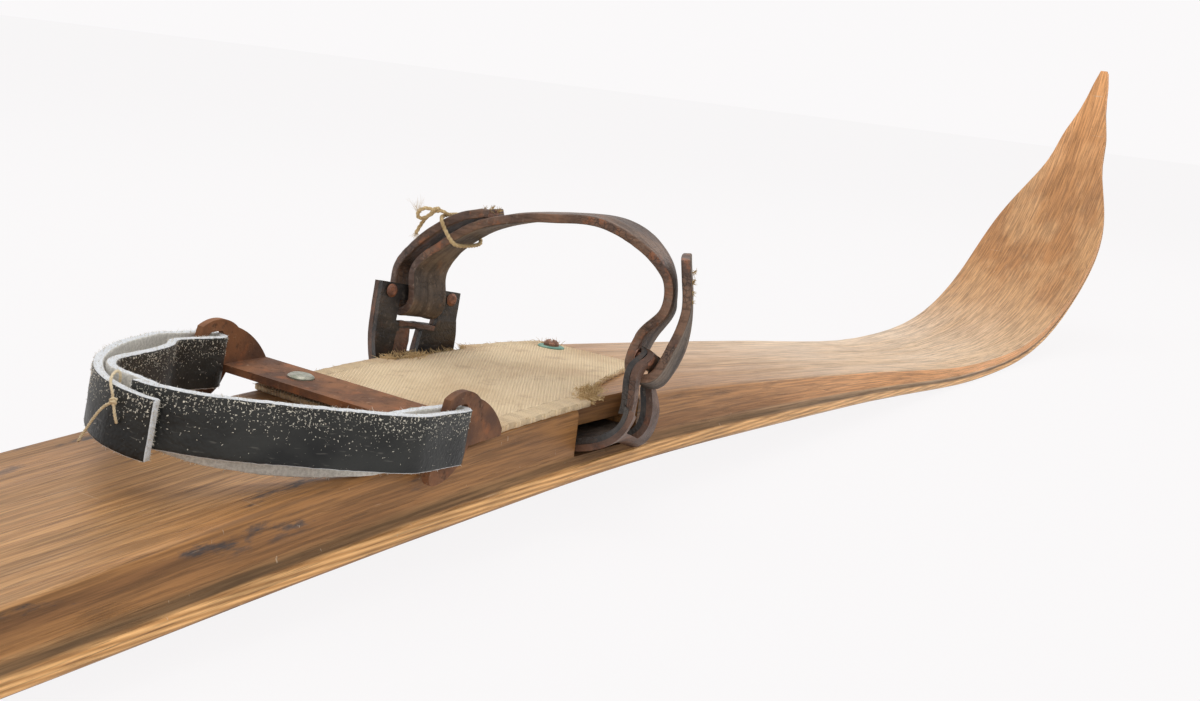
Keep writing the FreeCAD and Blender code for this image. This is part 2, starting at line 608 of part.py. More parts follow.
slots = [
    slot_box(NEAR_BRIDGE, near_across, near_up, near_out * -1, size["loop_slot_width"], bridge / 2,
             size["near_slot_height"]),
    slot_box(FAR_BRIDGE, far_across, far_up, far_out, size["loop_slot_width"], bridge / 2,
             size["loop_slot_height"]),
    slot_box(FAR_BRIDGE - far_across * 2 - far_up * 13.5, far_across, far_up, far_out, 12, 0, 9)]
rivets = {}
for end, centre, across, out in (("near", NEAR_BRIDGE, near_across, near_out),
                                 ("far", FAR_BRIDGE, far_across, far_out)):
    reach = band * (0.4 if end == "near" else 0.5) - 4.6
    for which, sign in (("rear", -1), ("front", 1)):
        rivets[f"{end}_rivet_{which}"] = (centre + across * (sign * reach), out)
outer_low = size["layer_gap"] / 2
outer = strap(band_stations, -outer_t, -outer_low, 30)
lining = strap(band_stations, lining_t, outer_low, 30)
for tool in slots:
    outer = outer.cut(tool)
    lining = lining.cut(tool)
UNDER_HEAD = 0.4
grip = band_t / 2 + UNDER_HEAD
for centre, out in rivets.values():
    tools = [Part.makeCylinder(size["rivet_shank"] / 2 + 0.03, 20, centre - out * 10, out)]
    for side in (out, out * -1):
        tools.append(Part.makeCylinder(size["rivet_diameter"] / 2 + 0.05, 4, centre + side * grip, side))
    outer = outer.cut(tools)
    lining = lining.cut(tools)
mortise_strap = add_shape("mortise_strap", outer)
mortise_strap_lining = add_shape("mortise_strap_lining", lining)
for label, (centre, out) in rivets.items():
    body = turned(label, [
        ("0", f"-{grip} - sizes.rivet_head_height"),
        ("sizes.rivet_diameter * 0.3", f"-{grip} - sizes.rivet_head_height"),
        ("sizes.rivet_diameter / 2", f"-{grip}"), ("sizes.rivet_shank / 2", f"-{grip}"),
        ("sizes.rivet_shank / 2", f"{grip}"), ("sizes.rivet_diameter * 0.42", f"{grip}"),
        ("sizes.rivet_diameter * 0.3", f"{grip} + sizes.rivet_head_height * 0.8"),
        ("0", f"{grip} + sizes.rivet_head_height * 0.8")])
    body.Placement = Placement(centre, Rotation(Vector(0, 0, 1), out))

# ---------------------------------------------------------------------------------------------
# The toe strap: one strap over the foot, looped through both bridges like a chain link.
# ---------------------------------------------------------------------------------------------
toe_w, toe_t = size["toe_strap_width"], size["toe_strap_thickness"]
leg = band_t / 2 + size["loop_gap"] + toe_t / 2
bottom = size["loop_drop"] + toe_t / 2
rise = leg - bottom


def loop(centre, across, up, out, sides):
    """Points of the strap round a bridge, from the inside leg to the outside leg or back."""
    turned_points = []
    for angle in (0, 45, 90, 135, 180):
        a = math.radians(angle)
        point = centre - out * (leg * math.cos(a)) + up * (rise - leg * math.sin(a))
        turned_points.append((point, across, toe_w))
    return turned_points if sides == "out" else turned_points[::-1]


arch_x = Vector(1, 0, 0)
toe_stations = [(Vector(6.5, 17.5, 102.6), arch_x, toe_w), (Vector(5.5, 26, 100), arch_x, toe_w),
                (Vector(4, 36.5, 93.5), arch_x, toe_w),
                (Vector(2.5, 45.5, 84.5), Vector(0.99, -0.1, 0), toe_w),
                (FAR_BRIDGE + far_out * (leg + 0.6) + far_up * 9, far_across, toe_w)]
toe_stations += loop(FAR_BRIDGE, far_across, far_up, far_out, "in")
toe_stations += [(Vector(1.5, 41.6, 76.5), Vector(0.98, -0.2, -0.1), toe_w),
                 (Vector(4, 35, 86.5), arch_x, toe_w),
                 (Vector(5.5, 22, 96.3), arch_x, toe_w), (Vector(7, 6, 102.3), arch_x, toe_w),
                 (Vector(9, -14, 105.8), arch_x, toe_w), (Vector(12, -32, 106.4), arch_x, toe_w),
                 (Vector(14.6, -46.2, 100.8), Vector(0.97, 0.22, 0.06), toe_w),
                 (Vector(17.6, -54.6, 91), Vector(0.92, 0.38, 0), toe_w),
                 (Vector(18.4, -55.4, 79), Vector(0.91, 0.36, -0.15), toe_w),
                 (NEAR_BRIDGE - near_out * (leg + 0.3) + near_up * 8, near_across, toe_w)]
toe_stations += loop(NEAR_BRIDGE, near_across, near_up, near_out, "out")
toe_stations += [(NEAR_BRIDGE + near_out * (leg + 0.5) + near_up * 9, near_across, toe_w),
                 (Vector(21, -61.6, 80), Vector(0.89, 0.42, -0.15), toe_w),
                 (Vector(19, -59.6, 98.5), Vector(0.89, 0.42, -0.1), toe_w)]
toe_shape = strap(toe_stations, toe_t, -toe_t / 2, 96, True)
toe_strap = add_shape("toe_strap", toe_shape)

# The twine that ties the strap's far tail down to the arch, and its knot.
ring_middle = Vector(4.6, 30.4, 94.1)
ring_out = Vector(0, 0.62, 0.785).normalize()
ring_r = size["toe_twine_diameter"] / 2
ring_half = toe_w / 2 + ring_r + 0.5
ring_deep = 6.9
bend = 1.5


def rounded_ring(middle, across, out, half, deep, corner):
    """A closed path with rounded corners, square to the strap."""
    edges = []
    spots = [(half, -deep), (half, deep), (-half, deep), (-half, -deep)]
    for index, (a, b) in enumerate(spots):
        to_a, to_b = spots[(index + 1) % 4]
        step_a = (to_a > a) - (to_a < a)
        step_b = (to_b > b) - (to_b < b)
        start = (a + step_a * corner, b + step_b * corner)
        end = (to_a - step_a * corner, to_b - step_b * corner)
        next_a, next_b = spots[(index + 2) % 4]
        turn_a = (next_a > to_a) - (next_a < to_a)
        turn_b = (next_b > to_b) - (next_b < to_b)
        after = (to_a + turn_a * corner, to_b + turn_b * corner)
        pull = corner * (1 - math.sqrt(0.5))
        mid = (to_a - step_a * pull + turn_a * pull, to_b - step_b * pull + turn_b * pull)
        spot = [middle + across * p + out * q for p, q in (start, end, mid, after)]
        edges.append(Part.LineSegment(spot[0], spot[1]).toShape())
        edges.append(Part.Arc(spot[1], spot[2], spot[3]).toShape())
    return Part.Wire(edges)


ring_path = rounded_ring(ring_middle, arch_x, ring_out, ring_half, ring_deep, bend)
first = ring_path.Edges[0]
start = first.Vertexes[0].Point
section = Part.Wire(Part.makeCircle(ring_r, start, first.tangentAt(first.FirstParameter)))
ring = ring_path.makePipeShell([section], True, True)
toe_twine = add_shape("toe_twine", ring)
knot = doc.addObject("Part::Ellipsoid", "toe_twine_knot")
knot.Label = "toe_twine_knot"
knot.setExpression("Radius1", "sizes.toe_twine_diameter * 1.3")
knot.setExpression("Radius2", "sizes.toe_twine_diameter * 1.9")
knot.setExpression("Radius3", "sizes.toe_twine_diameter * 1.5")
knot_at = ring_middle - arch_x * (ring_half + 0.3) + ring_out * (ring_deep + ring_r + 2.1)
knot.Placement = Placement(knot_at, Rotation())

# ---------------------------------------------------------------------------------------------
# The heel strap: one new strap wound twice between the ears. Each run swings about the ears;
# the folds round the ears' rear legs stay on the iron.
# ---------------------------------------------------------------------------------------------
heel_w, heel_t = size["heel_strap_width"], size["heel_strap_thickness"]
radius = heel_w / 2
near_off = ear_half + size["heel_play"] + heel_t / 2
far_off = near_off + size["sleeve_thickness"] + 0.1
near_y, far_y = -ear_y, ear_y
up = Vector(0, 0, 1)


def heel_run(points):
    """A strap on edge through (x, y, z) points in the strap's own frame."""
    stations = [(Vector(*point), up, heel_w) for point in points]
    return strap(stations, heel_t, -heel_t / 2, 26)


def eye(y):
    """The rounded end of a run, beside an ear."""
    disc = Part.makeCylinder(radius, heel_t, Vector(0, y - heel_t / 2, 0), Vector(0, 1, 0))
    block = Part.makeBox(radius, heel_t, heel_w, Vector(-radius, y - heel_t / 2, -radius))
    return disc.fuse(block)


# straight for a little way beside each ear, so that the round eyes lie flat in the runs
eye_rear = -radius
EYE_LAP, EYE_STRAIGHT, EYE_BEND = 4, -1, -6


def beside_ear(y, bend_y, bend_z=0.0):
    """Three points of a run from under its eye back to where it leaves the ear."""
    return [(eye_rear + EYE_LAP, y, 0), (eye_rear + EYE_STRAIGHT, y, 0), (eye_rear + EYE_BEND, bend_y, bend_z)]


c_y, d_y = near_y - near_off, near_y + near_off
e_y, b_y = far_y + far_off, far_y - far_off
near_run = heel_run(beside_ear(c_y, c_y + 0.6) + [
    (-24, c_y + 5.2, 0), (-45, -32.0, 0), (-63, -16.5, 0), (-70.4, -4.5, 0), (-72.2, 3.5, 0)])
inner_run = heel_run(beside_ear(d_y, d_y + 0.7, -0.5) + [
    (-24, d_y + 5.6, -2.8), (-43.5, -27.0, -4.2), (-59.5, -12.8, -3.2), (-66.3, -2.5, -1.2), (-68.4, 7, 0),
    (-65.5, 18, 0), (-57.5, 25.2, 0), (-47, 29, 0), (-36, 32.2, 0), (-22, 38, 0)]
    + beside_ear(b_y, b_y - 1.2)[::-1])
far_run = heel_run([
    (-74.5, -7.6, -2.7), (-75.2, -2.5, -2.6), (-75, 7, -1.8), (-70.8, 16.9, -1), (-61.5, 27.2, -0.4),
    (-50.3, 35.2, 0), (-37.2, 42.6, 0), (-22, 48.9, 0)] + beside_ear(e_y, e_y - 0.8)[::-1])
near_run = near_run.fuse(eye(c_y)).removeSplitter()
inner_run = inner_run.fuse([eye(d_y), eye(b_y)]).removeSplitter()
far_run = far_run.fuse(eye(e_y)).removeSplitter()
for label, shape in (("heel_strap_near_run", near_run), ("heel_strap_inner_run", inner_run),
                     ("heel_strap_far_run", far_run)):
    shape.Placement = strap_place
    add_shape(label, shape)


FOLD_TRIM = 1.6
TURNING_ROOM = 0.3
LARGEST_SWING = 72
fold_w = heel_w - FOLD_TRIM


def fold(y, offset, front):
    """The strap's fold through an ear slot, hollowed where the runs' round eyes turn."""
    outside, inside = offset + heel_t / 2, offset - heel_t / 2
    centre_x = front - outside
    around = Part.makeCylinder(outside, fold_w, Vector(centre_x, y, -fold_w / 2))
    around = around.fuse(Part.makeBox(centre_x, 2 * outside, fold_w, Vector(0, y - outside, -fold_w / 2)))
    within = Part.makeCylinder(inside, heel_w + 2, Vector(centre_x, y, -radius - 1))
    within = within.fuse(Part.makeBox(centre_x + 1, 2 * inside, heel_w + 2,
                                      Vector(-1, y - inside, -radius - 1)))
    shape = around.cut(within)
    turning = Part.makeCylinder(radius + TURNING_ROOM, 40, Vector(0, y - 20, 0), Vector(0, 1, 0))
    raised = Part.makeBox(60, 40, 2 * (radius + TURNING_ROOM), Vector(-60, y - 20, -radius - TURNING_ROOM))
    level_run = raised.copy()
    raised.rotate(Vector(0, 0, 0), Vector(0, 1, 0), LARGEST_SWING)
    return shape.cut([turning, raised, level_run])


fold_front = size["ear_slot_front"] - 0.35
for label, y, offset in (("heel_strap_fold_near", near_y, near_off),
                         ("heel_strap_fold_far", far_y, far_off)):
    shape = fold(y, offset, fold_front)
    shape.Placement = strap_place
    add_shape(label, shape)

# The waxed twine that ties the far run down: up out of the strap, over its edge to a knot, and a
# loose end. A second short end goes from the knot back into the leather.
def tube(points, diameter):
    """A round cord along straight runs, with tangent arcs as large as the runs allow."""
    edges = []
    at = points[0]
    for before, corner, after in zip(points, points[1:], points[2:]):
        into = (corner - before).normalize()
        out = (after - corner).normalize()
        turn = into.getAngle(out)
        cut = 0.45 * min((corner - before).Length, (after - corner).Length)
        bend_radius = cut / math.tan(turn / 2)
        inward = (out - into).normalize()
        centre = corner + inward * (bend_radius / math.cos(turn / 2))
        start, end = corner - into * cut, corner + out * cut
        edges.append(Part.LineSegment(at, start).toShape())
        edges.append(Part.Arc(start, centre - inward * bend_radius, end).toShape())
        at = end
    edges.append(Part.LineSegment(at, points[-1]).toShape())
    ring = Part.Wire(Part.makeCircle(diameter / 2, points[0], points[1] - points[0]))
    return Part.Wire(edges).makePipeShell([ring], True, True)


TWINE_ROUTE = [Vector(-71.9, 8.6, 2.4), Vector(-71.9, 8.2, 8.4), Vector(-74.5, 7.6, 10.2),
               Vector(-77.8, 6.8, 8), Vector(-78, 3.4, 2.6)]
TWINE_TAIL = [Vector(-78, 3.4, 2.6), Vector(-78.3, 6.6, 0.9), Vector(-78.8, 9.7, -4),
              Vector(-79.4, 12.6, -10.6)]
TWINE_END = [Vector(-78, 3.4, 2.6), Vector(-78, 2.7, -0.4), Vector(-77.2, 2.2, -3)]
twine_d = size["heel_twine_diameter"]
heel_knot = Part.makeSphere(twine_d * 1.5, Vector(-78.4, 3.4, 2.6))
heel_twine = heel_knot.fuse([tube(route, twine_d) for route in (TWINE_ROUTE, TWINE_TAIL, TWINE_END)])
heel_twine.Placement = strap_place
add_shape("heel_twine", heel_twine)

# The remnant of the older strap: a cracked sleeve round the far ear's rear leg.
sleeve_t = size["sleeve_thickness"]
SLEEVE_REAR = -4.6
SLEEVE_PLAY = 0.08
sleeve_front = size["ear_slot_rear"] + 0.15 + sleeve_t
sleeve_low, sleeve_high = -slot_half + 2.6, slot_half - 2.4
tall = sleeve_high - sleeve_low
sleeve_in = ear_half + SLEEVE_PLAY
sleeve_out = sleeve_in + sleeve_t
sleeve_long = sleeve_front - SLEEVE_REAR
sleeve = Part.makeBox(sleeve_long, 2 * sleeve_out, tall, Vector(SLEEVE_REAR, far_y - sleeve_out, sleeve_low))
sleeve = sleeve.cut(Part.makeBox(sleeve_long - 2 * sleeve_t, 2 * sleeve_in, tall + 2,
                                 Vector(SLEEVE_REAR + sleeve_t, far_y - sleeve_in, sleeve_low - 1)))
sleeve.Placement = iron_place
add_shape("old_strap_sleeve", sleeve)

doc.recompute()

# ---------------------------------------------------------------------------------------------
# Check every object, then write one STEP file for each sub-part.
# ---------------------------------------------------------------------------------------------
NODES = ["ski", "foot_pad", "cross_iron", "iron_screw_far", "iron_screw_near", "pad_washer", "pad_screw",
         "mortise_strap", "mortise_strap_lining", *rivets, "toe_strap", "toe_twine", "toe_twine_knot",
         "heel_strap_near_run", "heel_strap_inner_run", "heel_strap_far_run", "heel_strap_fold_near",
         "heel_strap_fold_far", "heel_twine", "old_strap_sleeve"]
for item in doc.Objects:
    if {"Invalid", "Error"} & set(item.State):
        raise RuntimeError(f"{item.Label} did not build: {item.State}")
by_label = {item.Label: item for item in doc.Objects}
os.makedirs("parts", exist_ok=True)
for node in NODES:
    shape = by_label[node].Shape
    if shape.isNull() or not shape.isValid() or shape.Volume <= 0:
        raise RuntimeError(f"{node} has no sound shape")
    shape.exportStep(f"parts/{node}.step")
    box = shape.optimalBoundingBox(False, False)
    print(f"{node}: {len(shape.Solids)} solid, {shape.Volume:.1f} mm3, x {box.XMin:.1f} to {box.XMax:.1f}, "
          f"y {box.YMin:.1f} to {box.YMax:.1f}, z {box.ZMin:.1f} to {box.ZMax:.1f}")
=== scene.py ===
import math
import random

import bmesh
import bpy
from mathutils import Matrix, Vector, bvhtree, noise


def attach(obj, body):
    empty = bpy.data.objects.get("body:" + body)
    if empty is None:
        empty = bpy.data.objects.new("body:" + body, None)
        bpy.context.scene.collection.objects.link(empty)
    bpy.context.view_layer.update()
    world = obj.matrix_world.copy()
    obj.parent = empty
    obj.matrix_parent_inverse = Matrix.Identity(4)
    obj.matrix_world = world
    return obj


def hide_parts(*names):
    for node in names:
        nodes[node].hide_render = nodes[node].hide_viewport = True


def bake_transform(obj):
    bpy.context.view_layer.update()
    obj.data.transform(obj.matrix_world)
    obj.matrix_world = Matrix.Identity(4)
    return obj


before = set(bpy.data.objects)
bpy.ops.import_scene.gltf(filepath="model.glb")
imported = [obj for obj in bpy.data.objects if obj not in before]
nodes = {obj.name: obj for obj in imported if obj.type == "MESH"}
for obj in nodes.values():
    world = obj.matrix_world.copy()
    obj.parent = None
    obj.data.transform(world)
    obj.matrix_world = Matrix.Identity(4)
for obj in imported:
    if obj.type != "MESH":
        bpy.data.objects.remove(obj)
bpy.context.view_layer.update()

# ---------------------------------------------------------------------------------------------
# The studio: a pale sweep under the ski, a broad softbox overhead and a camera standing beside
# the tail, looking forward along the binding to the turned-up tip.
# ---------------------------------------------------------------------------------------------
scene = bpy.context.scene
scene.view_settings.view_transform = "Standard"
FOCAL_LENGTH, SENSOR_WIDTH = 43.29, 36
CAMERA_PLACE = Vector((-0.4385, -0.2993, 0.1556))
CAMERA_YAW = math.radians(30.6)
CAMERA_DIP = math.radians(10.44)
CAMERA_ROLL = math.radians(7.09)
sight = Vector((math.cos(CAMERA_YAW) * math.cos(CAMERA_DIP), math.sin(CAMERA_YAW) * math.cos(CAMERA_DIP),
                -math.sin(CAMERA_DIP)))
level_right = Vector((math.sin(CAMERA_YAW), -math.cos(CAMERA_YAW), 0))
level_up = level_right.cross(sight)
right = math.cos(CAMERA_ROLL) * level_right + math.sin(CAMERA_ROLL) * level_up
upward = -math.sin(CAMERA_ROLL) * level_right + math.cos(CAMERA_ROLL) * level_up
camera_data = bpy.data.cameras.new("camera")
camera_data.lens = FOCAL_LENGTH
camera_data.sensor_width = SENSOR_WIDTH
camera_data.clip_start = 0.01
camera = bpy.data.objects.new("camera", camera_data)
camera.matrix_world = Matrix((
    (right.x, upward.x, -sight.x, CAMERA_PLACE.x), (right.y, upward.y, -sight.y, CAMERA_PLACE.y),
    (right.z, upward.z, -sight.z, CAMERA_PLACE.z), (0, 0, 0, 1)))
scene.collection.objects.link(camera)
scene.camera = camera


def place(tree, kind, inputs=None, **settings):
    """Adds a shader node; each input is a plain value or another node's socket."""
    node = tree.nodes.new("ShaderNode" + kind)
    for key, value in settings.items():
        setattr(node, key, value)
    for key, value in (inputs or {}).items():
        if isinstance(value, bpy.types.NodeSocket):
            tree.links.new(value, node.inputs[key])
        else:
            node.inputs[key].default_value = value
    return node


def seen_or_mirrored(tree):
    """1 for rays from the camera, from gloss and through glass, else 0."""
    path = place(tree, "LightPath")
    either = place(tree, "Math", {0: path.outputs["Is Camera Ray"], 1: path.outputs["Is Glossy Ray"]},
                   operation="MAXIMUM")
    return place(tree, "Math", {0: either.outputs[0], 1: path.outputs["Is Transmission Ray"]},
                 operation="MAXIMUM").outputs[0]


BACKDROP = (0.96, 0.945, 0.95, 1)
world = bpy.data.worlds.new("studio")
world.use_nodes = True
scene.world = world
sky = world.node_tree
sky.nodes.clear()
lit = place(sky, "Background", {"Color": (1, 0.985, 0.965, 1), "Strength": 0.62})
shown = place(sky, "Background", {"Color": BACKDROP, "Strength": 1.0})
blend_sky = place(sky, "MixShader", {0: seen_or_mirrored(sky), 1: lit.outputs[0], 2: shown.outputs[0]})
place(sky, "OutputWorld", {"Surface": blend_sky.outputs[0]})

FLOOR_SIZE, FLOOR_DROP = 30, 0.0006
sweep = bmesh.new()
bmesh.ops.create_grid(sweep, x_segments=4, y_segments=4, size=FLOOR_SIZE)
bmesh.ops.translate(sweep, verts=sweep.verts, vec=(0, 0, -FLOOR_DROP))
sweep_mesh = bpy.data.meshes.new("sweep")
sweep.to_mesh(sweep_mesh)
sweep.free()
floor = bpy.data.objects.new("sweep", sweep_mesh)
scene.collection.objects.link(floor)
paper = bpy.data.materials.new("pale_paper")
paper.use_nodes = True
tree = paper.node_tree
tree.nodes.clear()
matt = place(tree, "BsdfDiffuse", {"Color": (0.86, 0.85, 0.845, 1)})
glow = place(tree, "Emission", {"Color": BACKDROP, "Strength": 1.0})
share = place(tree, "Math", {0: seen_or_mirrored(tree), 1: 0.94}, operation="MULTIPLY")
mixed = place(tree, "MixShader", {0: share.outputs[0], 1: matt.outputs[0], 2: glow.outputs[0]})
place(tree, "OutputMaterial", {"Surface": mixed.outputs[0]})
sweep_mesh.materials.append(paper)


def softbox(name, at, towards, size, watts, colour=(1, 1, 1)):
    """A square area lamp turned towards a point."""
    lamp = bpy.data.lights.new(name, "AREA")
    lamp.shape = "SQUARE"
    lamp.size = size
    lamp.energy = watts
    lamp.color = colour
    item = bpy.data.objects.new(name, lamp)
    item.location = at
    item.rotation_euler = (Vector(towards) - Vector(at)).to_track_quat("-Z", "Y").to_euler()
    scene.collection.objects.link(item)


softbox("overhead", (0.1, 0.35, 1.7), (0, 0, 0), 1.6, 15, (1, 0.985, 0.96))
softbox("front_fill", (-1.3, -1.1, 0.9), (-0.1, 0, 0.05), 1.2, 5)
softbox("tip_light", (1.5, -0.6, 1.1), (0.7, 0, 0.1), 0.9, 4)

# ---------------------------------------------------------------------------------------------
# The ski: one plank of straight-grained wood, steamed up at the tip. Its sides are coved above
# a wider sole; a century of varnish, hands and snow has stained the sides and bleached the front.
# Painted shade darkens the sides and the cove, and a painted highlight brightens the flange.
# ---------------------------------------------------------------------------------------------
MM = 0.001


def mottle_group():
    """Soft patches of a noise between two thresholds, as a mask."""
    group = bpy.data.node_groups.new("mottle", "ShaderNodeTree")
    face = group.interface
    face.new_socket("Vector", in_out="INPUT", socket_type="NodeSocketVector")
    for name, value in (("Scale", 5.0), ("Detail", 4.0), ("Roughness", 0.55), ("Low", 0.45), ("High", 0.6)):
        face.new_socket(name, in_out="INPUT", socket_type="NodeSocketFloat").default_value = value
    face.new_socket("Mask", in_out="OUTPUT", socket_type="NodeSocketFloat")
    entry = group.nodes.new("NodeGroupInput").outputs
    speckle = place(group, "TexNoise", {"Vector": entry["Vector"], "Scale": entry["Scale"],
                                        "Detail": entry["Detail"], "Roughness": entry["Roughness"]})
    limit = place(group, "MapRange", {"Value": speckle.outputs["Fac"], "From Min": entry["Low"],
                                      "From Max": entry["High"]}, interpolation_type="SMOOTHSTEP")
    leave = group.nodes.new("NodeGroupOutput")
    group.links.new(limit.outputs["Result"], leave.inputs["Mask"])
    return group


MOTTLE = mottle_group()


def mottle(tree, coords, scale, low, high, detail=4.0, roughness=0.55):
    """Places the mottle group and returns its mask."""
    patch = place(tree, "Group", node_tree=MOTTLE)
    tree.links.new(coords, patch.inputs["Vector"])
    for name, value in (("Scale", scale), ("Detail", detail), ("Roughness", roughness), ("Low", low),
                        ("High", high)):
        patch.inputs[name].default_value = value
    return patch.outputs["Mask"]


def stretched(tree, coords, scale, turn=(0, 0, 0), move=(0, 0, 0)):
    """Coordinates squeezed along some axes, so that a noise becomes grain."""
    return place(tree, "Mapping", {"Vector": coords, "Scale": scale, "Rotation": turn,
                                   "Location": move}).outputs[0]


def from_parts(tree, *parts):
    """A vector from its one to three values."""
    return place(tree, "CombineXYZ", dict(enumerate(parts))).outputs[0]


def mix(tree, factor, below, above, kind="MIX"):
    """One colour or socket over another."""
    return place(tree, "Mix", {0: factor, 6: below, 7: above}, data_type="RGBA", blend_type=kind).outputs[2]


def sums(tree, operation, first, second=0.0, third=None):
    """A Math node's result."""
    inputs = {0: first, 1: second}
    if third is not None:
        inputs[2] = third
    return place(tree, "Math", inputs, operation=operation).outputs[0]


def times(tree, first, second):
    """The product of two values."""
    return sums(tree, "MULTIPLY", first, second)


def times_plus(tree, first, second, third):
    """The product of two values, plus a third."""
    return sums(tree, "MULTIPLY_ADD", first, second, third)


def painted(tree, colour, paint, mask, strength=None):
    """A colour with paint over it where a mask shows it, at a share of the mask's strength."""
    return mix(tree, mask if strength is None else times(tree, mask, strength), colour, (*paint, 1))


def two_tone(tree, mask, first, second):
    """One colour turning into another where a mask shows it."""
    return mix(tree, mask, (*first, 1), (*second, 1))


def noise_of(tree, coords, scale, detail, roughness=0.5):
    """A noise's own value, without limits."""
    return place(tree, "TexNoise", {"Vector": coords, "Scale": scale, "Detail": detail,
                                    "Roughness": roughness}).outputs["Fac"]


def bands(tree, coords, scale, distortion, detail, detail_scale=1.0, profile="SIN"):
    """Lines across the first axis of some coordinates."""
    return place(tree, "TexWave", {"Vector": coords, "Scale": scale, "Distortion": distortion,
                                   "Detail": detail, "Detail Scale": detail_scale},
                 wave_type="BANDS", bands_direction="X", wave_profile=profile).outputs["Fac"]


def from_coords(tree, which="Object"):
    """The object's own coordinates, or its UV map."""
    return place(tree, "TexCoord").outputs[which]


def between(tree, value, low, high, to_low=0.0, to_high=1.0):
    """A value eased from one range to another."""
    return place(tree, "MapRange", {"Value": value, "From Min": low, "From Max": high, "To Min": to_low,
                                    "To Max": to_high}, interpolation_type="SMOOTHSTEP").outputs["Result"]


def new_material(name):
    """An empty material with its Principled shader and output."""
    made = bpy.data.materials.new(name)
    made.use_nodes = True
    made.node_tree.nodes.clear()
    shader = place(made.node_tree, "BsdfPrincipled")
    place(made.node_tree, "OutputMaterial", {"Surface": shader.outputs[0]})
    return made, made.node_tree, shader


def raised(tree, shader, height, strength, distance):
    """Feeds a height through a Bump node to the shader's normal."""
    bump = place(tree, "Bump", {"Height": height, "Strength": strength, "Distance": distance})
    tree.links.new(bump.outputs[0], shader.inputs["Normal"])


